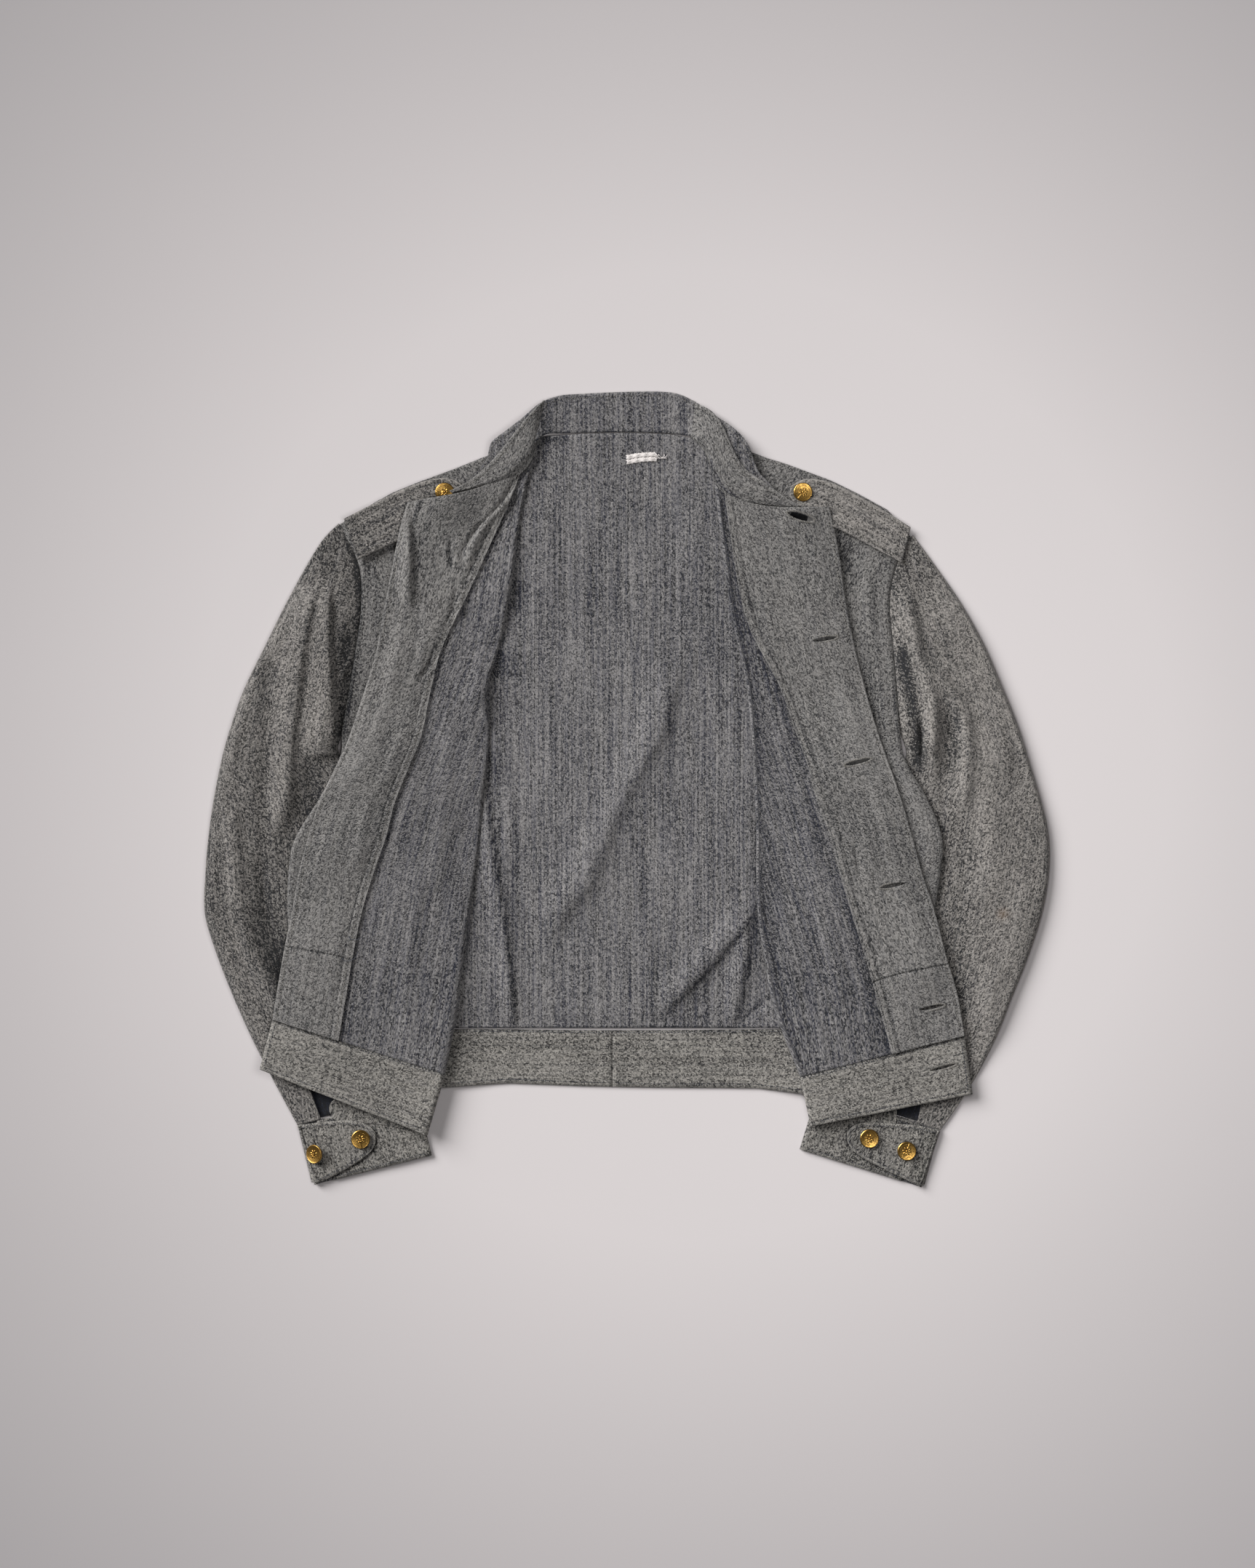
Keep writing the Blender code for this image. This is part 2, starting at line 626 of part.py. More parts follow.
def turned_button(name, place, lean, shrink, faces_up, collection):
    """A gilt shank button turned about its own axis."""
    outline = bmesh.new()
    verts = []
    for radius, height in BUTTON_PROFILE:
        verts.append(outline.verts.new((radius * MILLIMETRE, 0.0, height * shrink * MILLIMETRE)))
    edges = [outline.edges.new(pair) for pair in zip(verts, verts[1:])]
    bmesh.ops.spin(
        outline, geom=verts + edges, cent=(0, 0, 0), axis=(0, 0, 1), angle=2 * math.pi, steps=BUTTON_SIDES,
        use_merge=True,
    )
    bmesh.ops.remove_doubles(outline, verts=outline.verts, dist=0.00001)
    bmesh.ops.recalc_face_normals(outline, faces=outline.faces)
    mesh = bpy.data.meshes.new(name)
    outline.to_mesh(mesh)
    outline.free()
    mesh.shade_smooth()
    mesh.set_sharp_from_angle(angle=math.radians(35.0))
    piece = finish_object(name, mesh, GILT, collection, roughness=0.3, metallic=1.0)
    piece.location = [value * MILLIMETRE for value in place]
    piece.rotation_euler = (0.0 if faces_up else math.pi, -math.radians(lean), 0.0)
    return piece


def build_buttons(collection):
    for name, x, y, seat_z, lean in BUTTON_ROWS:
        turned_button(name, (x, y, seat_z), lean, 1.0, True, collection)
    for number, level in enumerate(FRONT_BUTTON_LEVELS, start=1):
        row = row_at(RIGHT_FRONT_ROWS, level)
        x, y, z = turned_point(row, FRONT_BUTTON_SHARE, level, "right", CLOTH)
        place = (x, y, z - CLOTH / 2 - LAID_GAP)
        turned_button(f"front_button_{number}", place, 0.0, FRONT_BUTTON_SHRINK, False, collection)


def build_label(collection):
    """The torn end of a white tape, sewn inside the back of the neck."""
    middle_x, middle_y = LABEL_CENTRE
    half_length = LABEL_SIZE[0] / 2
    half_width = LABEL_SIZE[1] / 2
    corners = []
    for along, across in ((-1, -1), (1, -1), (1, 1), (-1, 1)):
        x = along * half_length
        y = across * half_width
        turned_x = x * math.cos(LABEL_TURN) - y * math.sin(LABEL_TURN)
        turned_y = x * math.sin(LABEL_TURN) + y * math.cos(LABEL_TURN)
        corners.append((middle_x + turned_x, middle_y + turned_y))
    flat_outline("label_tape", corners, CLOTH + 0.3 + LABEL_THICK / 2, LABEL_THICK, TAPE_WHITE, collection)


def main():
    for item in list(bpy.data.objects):
        bpy.data.objects.remove(item)
    parts = bpy.data.collections.new("military_jacket")
    cutters = bpy.data.collections.new("cutters")
    bpy.context.scene.collection.children.link(parts)
    bpy.context.scene.collection.children.link(cutters)
    build_back(parts)
    build_back_band("back_waistband_right", BACK_BAND_ROWS[0][0], CENTRE_BACK_X - SEAM_GAP / 2, parts)
    build_back_band("back_waistband_left", CENTRE_BACK_X + SEAM_GAP / 2, BACK_BAND_ROWS[-1][0], parts)
    for side, rows, band_rows, sleeve_rows in (
        ("right", RIGHT_FRONT_ROWS, RIGHT_BAND_ROWS, RIGHT_SLEEVE_ROWS),
        ("left", LEFT_FRONT_ROWS, LEFT_BAND_ROWS, LEFT_SLEEVE_ROWS),
    ):
        build_front(side, rows, parts)
        build_front_band(side, band_rows, rows[-1], parts)
        build_sleeve(side, sleeve_rows, parts, cutters)
        build_cuff(side, parts)
        build_strap(side, parts)
    build_collar(parts)
    build_buttons(parts)
    build_label(parts)


main()
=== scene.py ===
# Looks of the short military jacket in grey cotton that lies open on its back.
import json
import math

import bmesh
import bpy
import numpy as np
from mathutils import Matrix

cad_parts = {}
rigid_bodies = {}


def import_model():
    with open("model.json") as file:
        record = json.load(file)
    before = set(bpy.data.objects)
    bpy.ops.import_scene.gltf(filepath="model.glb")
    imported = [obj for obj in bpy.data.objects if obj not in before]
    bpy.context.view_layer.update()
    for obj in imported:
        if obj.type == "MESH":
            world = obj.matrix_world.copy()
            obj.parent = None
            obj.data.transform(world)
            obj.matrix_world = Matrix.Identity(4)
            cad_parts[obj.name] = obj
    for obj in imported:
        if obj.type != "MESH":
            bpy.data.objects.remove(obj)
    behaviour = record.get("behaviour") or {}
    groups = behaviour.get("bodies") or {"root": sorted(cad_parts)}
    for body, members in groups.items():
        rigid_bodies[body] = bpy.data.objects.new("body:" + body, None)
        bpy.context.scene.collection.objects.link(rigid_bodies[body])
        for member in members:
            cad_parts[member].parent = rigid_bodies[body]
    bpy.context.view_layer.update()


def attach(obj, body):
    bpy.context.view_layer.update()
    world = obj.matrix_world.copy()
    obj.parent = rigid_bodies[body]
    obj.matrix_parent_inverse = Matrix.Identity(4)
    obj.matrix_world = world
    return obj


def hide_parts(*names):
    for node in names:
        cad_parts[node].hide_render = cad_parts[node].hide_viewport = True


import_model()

# The jacket's own sizes in millimetres, as in the part's source. Right and left are the wearer's own.
CLOTH = 1.2
DOUBLE_CLOTH = 1.6
SEAM_GAP = 0.5
LAID_GAP = 0.35
LAYER = 2.2
SLEEVE_HOLLOW = 3.0
SLEEVE_LIFT = 6.4
LIFT_START_X = 110.0
LIFT_FULL_X = 190.0
LIFT_START_Y = 90.0
LIFT_FULL_Y = 0.0
FOLD_PUFF = 3.4
FOLD_REACH = 22.0
BUTTON_RISE = 4.4
STRAP_RISE = 1.4
FLAP_DROP = 2.4
SHOULDER_BUTTON_BUMP = 6.0
SHOULDER_BUTTON_BUMP_RADIUS = 40.0
FACING_JOIN_ROW = 11.0
MILLIMETRE = 0.001
HEM_WIDTH = 6.0

# Levels of each front from shoulder to waist seam. facing_share is the facing's hem, from fold to edge.
FRONT_ROWS = {
    "right": [
        # side_x, side_y, fold_x, fold_y, edge_x, edge_y, facing_share
        (-248.7, 228.8, -78.6, 298.1, -188.8, 247.7, 0.08),
        (-232.3, 195.4, -91.8, 242.7, -197.6, 214.3, 0.14),
        (-229.8, 160.8, -100.0, 179.7, -208.3, 160.8, 0.32),
        (-234.2, 123.0, -109.4, 129.3, -216.5, 116.7, 0.46),
        (-240.5, 85.2, -120.8, 88.3, -229.1, 75.7, 0.45),
        (-246.1, 50.5, -119.5, 53.7, -241.7, 37.9, 0.47),
        (-247.4, 28.5, -121.4, 22.2, -253.7, 12.7, 0.505),
        (-264.4, -6.2, -125.2, -9.3, -265.0, -12.5, 0.53),
        (-285.8, -41.5, -128.3, -40.8, -273.9, -40.8, 0.54),
        (-291.5, -67.3, -132.1, -72.3, -281.4, -69.2, 0.57),
        (-292.8, -103.8, -136.5, -103.8, -287.7, -103.8, 0.60),
        (-287.7, -141.6, -141.6, -142.9, -294.0, -135.3, 0.61),
        (-265.7, -176.3, -147.2, -192.0, -299.7, -166.8, 0.615),
        (-222.8, -206.5, -157.3, -245.6, -304.7, -198.3, 0.615),
    ],
    "left": [
        # side_x, side_y, fold_x, fold_y, edge_x, edge_y, facing_share
        (245.9, 217.5, 76.4, 262.8, 174.7, 243.9, 0.08),
        (233.3, 195.4, 80.8, 223.8, 182.9, 204.9, 0.08),
        (227.0, 163.9, 86.5, 179.7, 189.2, 160.8, 0.09),
        (230.1, 123.0, 93.4, 138.7, 196.7, 123.0, 0.13),
        (233.3, 85.2, 103.5, 91.5, 206.2, 85.2, 0.27),
        (235.8, 51.8, 107.3, 53.7, 215.0, 53.7, 0.34),
        (240.2, 25.3, 109.8, 22.2, 225.7, 22.2, 0.39),
        (258.5, -7.4, 111.1, -9.3, 236.4, -9.3, 0.42),
        (271.7, -40.8, 112.3, -40.8, 245.9, -40.8, 0.47),
        (270.5, -72.3, 112.3, -72.3, 254.1, -72.3, 0.50),
        (265.4, -103.8, 113.6, -107.0, 264.8, -103.8, 0.525),
        (257.2, -141.6, 118.6, -141.6, 274.9, -142.9, 0.55),
        (244.6, -176.3, 127.4, -188.9, 284.9, -176.3, 0.56),
        (227.0, -206.5, 150.1, -248.1, 291.2, -212.8, 0.555),
    ],
}
LAST_LEVEL = 13.0

# How far the shoulder bows above the straight line from side seam to fold, by the share of the way
SHOULDER_BOW = {
    "share": [0.0, 0.12, 0.27, 0.41, 0.64, 0.80, 1.0],
    "right": [0.0, 5.0, 9.0, 9.0, 7.3, 7.5, 0.0],
    "left": [0.0, 18.5, 25.7, 31.0, 35.0, 36.0, 0.0],
}
SHOULDER_BOW_ROWS = 2.5
NECKLINE_BOW = {"right": -16.0, "left": -10.0}

BACK_TOP = [
    # x, y
    (-248.7, 228.8), (-215.3, 250.2), (-165.0, 271.0), (-119.5, 289.3), (-73.5, 305.0), (-38.9, 307.5),
    (2.1, 308.3), (36.7, 307.0), (63.2, 302.5), (109.8, 291.0), (162.7, 271.0), (200.5, 255.3),
    (225.7, 241.4), (245.9, 217.5),
]
BAND_ROWS = {
    "right": [
        # side_x, side_y, fold_x, fold_y, edge_x, edge_y, facing_share
        (-222.8, -207.1, -157.3, -246.2, -304.9, -198.9, 0.5),
        (-222.8, -259.4, -172.4, -297.9, -316.1, -241.2, 0.5),
    ],
    "left": [
        # side_x, side_y, fold_x, fold_y, edge_x, edge_y, facing_share
        (227.0, -207.1, 150.1, -248.7, 291.3, -213.4, 0.5),
        (227.0, -261.3, 158.9, -290.3, 298.2, -263.2, 0.5),
    ],
}
BACK_BAND_ROWS = [
    # x, seam_y, lower_y
    (-222.8, -207.1, -259.4),
    (-163.6, -208.0, -258.2),
    (-101.9, -208.5, -254.4),
    (-38.9, -209.2, -256.9),
    (24.1, -209.2, -258.2),
    (112.3, -208.5, -258.8),
    (150.1, -208.0, -263.2),
    (227.0, -207.1, -261.3),
]
CENTRE_BACK_X = -12.4
STAIN_PLACE = (324.0, -107.6)
LOOSE_THREAD_PLACES = [(-238.0, -131.0), (-240.0, -147.0)]

SLEEVE_ROWS = {
    "right": [
        # outer_x, outer_y, inner_x, inner_y
        (-249.0, 229.5, -246.5, 226.0),
        (-265.7, 211.2, -233.2, 195.4),
        (-290.9, 167.1, -230.7, 160.8),
        (-312.9, 123.0, -235.1, 123.0),
        (-331.2, 85.2, -241.4, 85.2),
        (-343.2, 50.5, -247.0, 50.5),
        (-350.1, 25.3, -248.4, 28.0),
        (-357.0, -9.3, -220.3, -3.0),
        (-361.4, -40.8, -203.9, -40.8),
        (-364.0, -72.3, -195.1, -78.6),
        (-364.6, -107.0, -188.8, -116.4),
        (-355.8, -138.5, -183.8, -154.2),
        (-341.3, -176.3, -180.6, -188.9),
        (-322.4, -218.5, -179.4, -217.2),
        (-300.3, -261.3, -179.4, -245.6),
        (-284.6, -290.3, -182.5, -265.1),
    ],
    "left": [
        # outer_x, outer_y, inner_x, inner_y
        (247.2, 219.0, 244.0, 214.5),
        (263.5, 196.7, 234.2, 195.4),
        (287.5, 162.0, 227.9, 163.9),
        (307.6, 126.1, 231.0, 123.0),
        (325.3, 85.2, 234.2, 85.2),
        (337.9, 53.7, 236.7, 51.8),
        (347.9, 22.2, 241.2, 25.0),
        (357.4, -9.3, 216.3, -9.3),
        (364.3, -40.8, 200.5, -40.8),
        (364.6, -72.3, 191.1, -78.6),
        (358.7, -107.0, 184.0, -116.4),
        (346.7, -144.8, 178.0, -154.2),
        (332.8, -179.4, 173.0, -188.9),
        (317.7, -217.2, 168.8, -217.2),
        (295.0, -259.4, 165.9, -242.4),
        (270.5, -294.7, 165.2, -262.6),
    ],
}

# The collar's upper layer, from the neck seam to its own edge
COLLAR_UPPER_ROWS = {
    "right": [
        # seam_x, seam_y, edge_x, edge_y, height
        (-76.0, 302.5, -71.6, 336.5, 3.6),
        (-79.2, 291.8, -81.1, 327.0, 9.5),
        (-83.6, 280.5, -94.3, 310.7, 12.0),
        (-94.3, 269.1, -106.9, 294.3, 13.2),
        (-106.9, 263.5, -119.5, 279.8, 13.6),
        (-127.1, 259.7, -136.5, 265.4, 13.6),
        (-150.0, 254.8, -153.0, 257.0, 13.0),
    ],
    "left": [
        # seam_x, seam_y, edge_x, edge_y, height
        (55.6, 303.2, 58.8, 333.4, 3.2),
        (63.2, 296.2, 71.4, 327.7, 8.5),
        (70.1, 283.6, 82.1, 314.5, 11.5),
        (75.2, 267.9, 90.9, 294.3, 12.4),
        (84.0, 255.3, 101.0, 277.3, 12.4),
        (106.0, 247.7, 119.9, 263.5, 11.8),
        (135.0, 243.9, 138.8, 250.2, 11.0),
        (147.0, 243.0, 148.5, 245.5, 10.4),
    ],
}

COLLAR_ROWS = [
    # seam_x, seam_y, top_x, top_y, height
    (-143.5, 256.9, -139.0, 263.0, 11.0),
    (-123.0, 263.8, -122.0, 283.0, 10.5),
    (-103.0, 276.5, -117.0, 299.0, 9.5),
    (-86.0, 289.5, -105.0, 309.0, 9.0),
    (-76.5, 302.0, -91.0, 320.0, 8.0),
    (-68.0, 307.5, -75.0, 334.0, 3.6),
    (-55.0, 308.0, -58.5, 340.5, 0.8),
    (-38.9, 308.6, -38.9, 342.2, 0.8),
    (2.1, 309.3, 3.3, 344.0, 0.8),
    (36.7, 308.0, 37.4, 343.5, 0.8),
    (52.0, 306.0, 56.9, 336.5, 1.6),
    (66.5, 303.5, 73.9, 324.0, 6.0),
    (71.0, 286.0, 91.0, 312.5, 9.0),
    (75.8, 267.5, 104.0, 298.0, 10.0),
    (87.5, 255.2, 113.0, 275.5, 9.4),
    (106.0, 248.4, 122.5, 264.5, 8.4),
    (121.8, 245.9, 131.0, 255.0, 8.0),
    (135.0, 245.0, 139.0, 249.5, 7.6),
]

CUFF_CORNERS = {
    # outer seam, outer hem, inner hem, inner seam
    "right": [(-284.5, -290.9), (-269.5, -342.0), (-169.3, -316.8), (-182.3, -265.7)],
    "left": [(270.4, -295.3), (254.1, -344.1), (150.1, -311.7), (165.0, -263.2)],
}
CUFF_TAB_ROWS = {
    # seam-side x and y, hem-side x and y, from the root at the outer fold to the tip
    "right": [
        (-280.5, -290.2, -268.2, -340.2),
        (-266.0, -288.0, -259.5, -337.2),
        (-247.0, -286.4, -243.5, -328.8),
        (-232.0, -287.6, -230.0, -320.4),
        (-222.5, -291.2, -221.5, -313.6),
        (-217.3, -297.2, -217.3, -305.8),
    ],
    "left": [
        (265.8, -294.4, 252.6, -342.6),
        (252.0, -290.8, 243.5, -338.6),
        (228.0, -289.0, 222.0, -328.2),
        (208.0, -288.0, 205.0, -319.4),
        (196.5, -290.8, 195.0, -311.8),
        (190.2, -296.2, 190.4, -304.2),
    ],
}
CUFF_CLOTH = 1.4
CUFF_UNDER_Z = 0.7
CUFF_UPPER_Z = 3.0
CUFF_TAB_Z = 4.8
CUFF_OPEN_SHARE = 0.16

STRAP_ROWS = {
    "right": [
        # upper_x, upper_y, lower_x, lower_y
        (-244.5, 233.4, -231.8, 198.2),
        (-218.0, 247.2, -199.5, 213.7),
        (-190.1, 260.6, -172.0, 227.8),
        (-165.0, 268.4, -154.0, 238.0),
        (-149.0, 267.0, -145.0, 246.0),
        (-140.0, 260.5, -139.0, 252.5),
    ],
    "left": [
        # upper_x, upper_y, lower_x, lower_y
        (245.0, 226.2, 237.4, 195.6),
        (224.0, 239.6, 214.0, 208.0),
        (200.5, 252.8, 192.0, 220.0),
        (176.6, 264.6, 166.0, 232.6),
        (155.0, 268.0, 148.0, 244.0),
        (141.5, 262.0, 140.5, 253.0),
    ],
}

LABEL_CENTRE = (13.7, 286.7)
LABEL_TURN = 5.5

BUTTON_ROWS = [
    # node, x, y, seat_z, lean_degrees
    ("shoulder_button_right", -157.3, 256.5, 5.3, 0.0),
    ("shoulder_button_left", 152.0, 256.5, 5.3, 0.0),
    ("cuff_button_right_inner", -229.8, -302.3, 5.8, 0.0),
    ("cuff_button_right_outer", -268.4, -314.9, 7.2, 30.0),
    ("cuff_button_left_inner", 209.3, -301.6, 5.8, 0.0),
    ("cuff_button_left_outer", 241.5, -312.4, 5.8, 0.0),
]
FRONT_BUTTON_LEVELS = [1.2, 3.3, 5.9, 8.6, 11.9]
FRONT_BUTTON_SHARE = 0.86
FRONT_BUTTON_SHRINK = 0.8

# Buttonholes of the left front and of its waistband
BUTTONHOLE_ROWS = [
    # x, y, lean_degrees, half_length, half_opening
    (149.6, 235.0, -17.0, 11.5, 2.8),
    (170.3, 129.6, 9.0, 11.0, 1.5),
    (198.9, 23.4, 14.0, 11.2, 1.5),
    (229.2, -82.8, 11.0, 11.2, 1.6),
    (262.3, -188.2, 11.0, 11.2, 1.5),
]
BAND_BUTTONHOLE = (272.6, -240.2, 15.0, 11.5, 1.1)

# Soft folds: the path, half widths left and right of its run, and height. A trough has a negative height.
BODY_FOLDS = [
    ([(38.0, 95.0), (10.0, 10.0), (-62.0, -116.0)], 20.0, 12.0, 2.8),
    ([(96.0, -112.0), (34.0, -186.0)], 12.0, 8.0, 2.6),
    ([(-114.0, -48.0), (-98.0, -190.0)], 9.0, 9.0, 2.2),
    ([(108.0, -128.0), (94.0, -190.0)], 9.0, 9.0, 2.2),
]
BACK_FOLDS = [
    ([(45.0, 110.0), (29.0, 49.0), (11.0, 21.0), (-7.0, -11.0), (-21.0, -46.0), (-34.0, -80.0),
      (-56.0, -105.0), (-68.0, -135.0)], 6.5, 20.0, 3.4),
    ([(112.0, -96.0), (102.0, -116.0), (70.0, -154.0), (42.0, -182.0), (27.0, -198.0)], 2.4, 14.0, 3.2),
    ([(-123.0, 6.0), (-116.7, -50.0), (-106.0, -119.0), (-101.0, -162.0), (-96.5, -216.0)], 1.5, 9.0, 3.6),
    ([(110.0, -104.0), (105.0, -123.0), (102.0, -150.0), (97.0, -179.0), (91.0, -216.0)], 1.4, 9.0, 3.4),
    ([(124.0, -179.0), (115.0, -189.0), (101.0, -198.0)], 2.0, 2.0, -2.0),
    ([(112.0, -140.0), (118.0, -165.0)], 2.0, 3.0, 1.8),
    ([(-118.0, 60.0), (-104.0, -20.0), (-98.0, -60.0)], 9.0, 9.0, 1.2),
    ([(60.0, 250.0), (52.0, 180.0), (60.0, 110.0)], 12.0, 12.0, 1.0),
    ([(-60.0, 270.0), (-72.0, 190.0), (-88.0, 120.0)], 12.0, 12.0, 1.0),
    ([(-40.0, -212.0), (-44.0, -150.0)], 6.0, 6.0, 0.9),
    ([(10.0, -212.0), (8.0, -165.0)], 5.0, 5.0, 0.9),
    ([(-10.0, 292.0), (-6.0, 240.0), (-12.0, 190.0)], 9.0, 9.0, 0.8),
]
TURNED_FOLDS = {
    "right": [
        ([(-189.0, 242.0), (-186.5, 217.0), (-187.0, 180.0), (-185.0, 152.0)], 3.0, 9.0, 1.6),
        ([(-150.0, 60.0), (-158.0, -20.0), (-166.0, -90.0)], 9.0, 9.0, 1.4),
        ([(-122.0, 150.0), (-132.0, 60.0), (-140.0, -10.0)], 7.0, 7.0, 1.2),
        ([(-178.0, -60.0), (-190.0, -150.0), (-192.0, -225.0)], 9.0, 7.0, 1.2),
        ([(-215.0, 130.0), (-222.0, 70.0), (-236.0, 20.0)], 6.0, 6.0, 1.2),
    ],
    "left": [
        ([(171.0, -240.0), (168.0, -222.0), (158.0, -190.0)], 3.0, 7.0, 2.4),
        ([(120.0, 190.0), (126.0, 100.0), (136.0, 30.0)], 10.0, 10.0, 1.2),
        ([(150.0, -20.0), (168.0, -110.0), (186.0, -190.0)], 10.0, 8.0, 1.6),
        ([(210.0, 20.0), (232.0, -70.0), (256.0, -150.0)], 8.0, 8.0, 1.0),
        ([(136.0, -90.0), (142.0, -160.0), (152.0, -215.0)], 7.0, 7.0, 1.2),
    ],
}
FACING_FOLDS = {
    "right": [
        ([(-190.0, 243.0), (-187.5, 217.0), (-187.5, 180.0), (-186.0, 156.0)], 2.2, 8.0, 4.6),
        ([(-153.0, 219.0), (-151.0, 188.0)], 1.8, 1.8, -2.6),
        ([(-147.0, 216.0), (-146.0, 190.0)], 3.0, 3.0, 1.2),
        ([(-81.0, 284.0), (-92.4, 268.0), (-102.0, 255.0), (-114.5, 239.5), (-127.0, 227.0), (-136.5, 214.0),
          (-142.8, 201.0)], 1.8, 2.2, -3.2),
        ([(-80.0, 279.0), (-97.0, 256.0), (-122.0, 230.0), (-133.0, 210.0), (-140.0, 186.0)], 3.6, 3.6, 3.0),
        ([(-147.5, 172.0), (-149.1, 151.3), (-157.3, 129.3), (-163.0, 118.6), (-171.2, 104.0),
          (-181.0, 92.0)], 1.7, 2.4, -4.4),
        ([(-143.0, 172.0), (-145.0, 150.0), (-153.0, 128.0), (-160.0, 112.0)], 2.6, 2.6, 2.2),
        ([(-178.0, 150.0), (-182.0, 120.0), (-186.0, 96.0)], 4.0, 4.0, -1.2),
        ([(-202.7, 54.0), (-211.0, 28.0), (-218.4, 3.0)], 6.0, 5.0, -1.6),
        ([(-219.0, 2.0), (-228.0, -36.0), (-234.0, -74.0)], 5.0, 7.0, 1.6),
        ([(-196.0, 130.0), (-205.0, 80.0), (-222.0, 34.0)], 5.0, 7.0, 1.4),
    ],
    "left": [
        ([(158.0, 236.0), (166.0, 190.0), (172.0, 150.0)], 7.0, 7.0, 1.0),
        ([(184.0, 100.0), (196.0, 50.0), (204.0, 10.0)], 6.0, 6.0, 1.0),
        ([(195.0, -42.0), (200.5, -77.0)], 2.4, 2.4, -1.5),
        ([(204.0, -30.0), (212.0, -84.0)], 6.0, 6.0, 0.9),
    ],
}
UNDER_FOLDS = {
    "right": [
        ([(-224.0, 206.0), (-223.0, 180.0)], 2.2, 2.2, 2.0),
        ([(-217.5, 206.0), (-217.0, 172.0)], 2.2, 2.2, 1.8),
        ([(-212.0, 204.0), (-211.0, 160.0)], 2.4, 2.4, 1.4),
        ([(-228.0, 150.0), (-232.0, 100.0), (-240.0, 50.0)], 3.0, 3.0, 1.8),
    ],
    "left": [
        ([(191.0, 208.0), (194.0, 185.0)], 2.4, 3.0, -1.6),
        ([(206.0, 200.0), (210.0, 140.0), (219.0, 90.0), (226.0, 56.0)], 4.0, 3.0, 1.6),
        ([(222.0, 180.0), (223.0, 130.0), (230.0, 70.0)], 3.0, 3.0, 1.2),
        ([(226.0, 70.0), (240.0, 22.0), (252.0, -8.0), (258.0, -16.0)], 2.0, 6.0, 2.6),
        ([(244.0, 20.0), (262.0, -40.0), (266.0, -90.0)], 6.0, 6.0, 1.6),
    ],
}
SLEEVE_FOLDS = {
    "right": [
        ([(-257.0, 176.0), (-257.0, 148.0), (-256.5, 117.0), (-255.0, 85.0), (-252.0, 54.0), (-248.5, 24.0)],
         1.9, 17.0, 6.8),
        ([(-270.0, 176.0), (-280.0, 117.0), (-284.5, 85.0), (-289.6, 41.0), (-292.0, -9.3), (-293.4, -70.0)],
         4.0, 13.0, 5.0),
        ([(-308.0, 120.0), (-310.0, 60.0), (-311.0, -9.0), (-309.0, -70.0)], 9.0, 9.0, -3.4),
        ([(-276.0, 28.0), (-270.0, -6.0), (-281.0, -34.0)], 9.0, 7.0, -5.0),
        ([(-341.0, -10.0), (-338.0, -60.0), (-336.0, -91.0), (-325.5, -135.0), (-306.6, -173.0),
          (-292.0, -202.0)], 7.0, 8.0, 4.6),
        ([(-316.0, -56.0), (-308.0, -104.0), (-298.0, -148.0), (-290.0, -180.0)], 8.0, 8.0, -5.4),
        ([(-342.0, 60.0), (-346.0, 10.0)], 9.0, 9.0, 1.6),
        ([(-318.0, -190.0), (-300.0, -230.0), (-290.0, -262.0)], 8.0, 6.0, 1.8),
        ([(-234.0, 118.0), (-250.0, 92.0)], 2.4, 2.4, 1.8),
        ([(-236.0, 98.0), (-249.0, 72.0)], 2.0, 2.0, 1.6),
        ([(-262.0, -272.0), (-255.0, -248.0)], 4.0, 4.0, 1.2),
        ([(-228.0, -268.0), (-224.0, -246.0)], 4.0, 4.0, 1.2),
    ],
    "left": [
        ([(240.0, 176.0), (244.0, 150.0), (249.0, 117.0), (256.5, 98.0), (263.0, 78.0), (263.5, 52.0),
          (257.5, -3.0)], 7.0, 6.0, 6.0),
        ([(253.0, 62.0), (255.0, 34.0), (252.0, 8.0)], 2.4, 2.4, -7.0),
        ([(257.0, 108.0), (270.0, 93.0), (281.0, 80.0), (290.0, 64.0), (293.0, 36.0), (292.0, 8.0),
          (287.0, -22.0)], 7.0, 5.0, 5.0),
        ([(276.0, 70.0), (278.0, 48.0), (275.0, 18.0), (270.0, -12.0), (268.0, -40.0), (270.0, -66.0)],
         8.0, 7.0, -4.0),
        ([(290.0, -20.0), (291.0, -60.0), (287.0, -110.0), (283.0, -150.0)], 16.0, 10.0, -2.6),
        ([(303.0, 40.0), (316.0, -20.0), (310.0, -100.0)], 15.0, 12.0, 2.2),
        ([(337.0, 60.0), (338.0, -6.0)], 7.0, 9.0, -1.8),
        ([(343.0, -80.0), (330.0, -160.0)], 12.0, 12.0, 1.4),
        ([(320.0, -150.0), (306.0, -200.0), (286.0, -250.0)], 8.0, 8.0, 1.8),
        ([(236.0, -276.0), (230.0, -256.0)], 4.0, 4.0, 1.2),
        ([(206.0, -270.0), (202.0, -250.0)], 4.0, 4.0, 1.2),
    ],
}

# How much higher than the plain form each fold of the body puffs up, by level
FOLD_LIFTS = {
    "level": [0.0, 1.0, 2.1, 3.1, 4.2, 5.2, 6.7, 8.0, 10.0, 12.0, 13.0],
    "right": [-2.0, -1.8, 2.4, -1.5, 4.0, -1.5, 0.5, -2.5, -0.5, 2.0, 1.5],
    "left": [-2.0, -1.6, -1.4, -1.4, -0.6, -0.6, -1.0, -1.4, -0.8, 1.0, 0.6],
}
FACING_LIFT = {"right": 3.4, "left": 1.6}

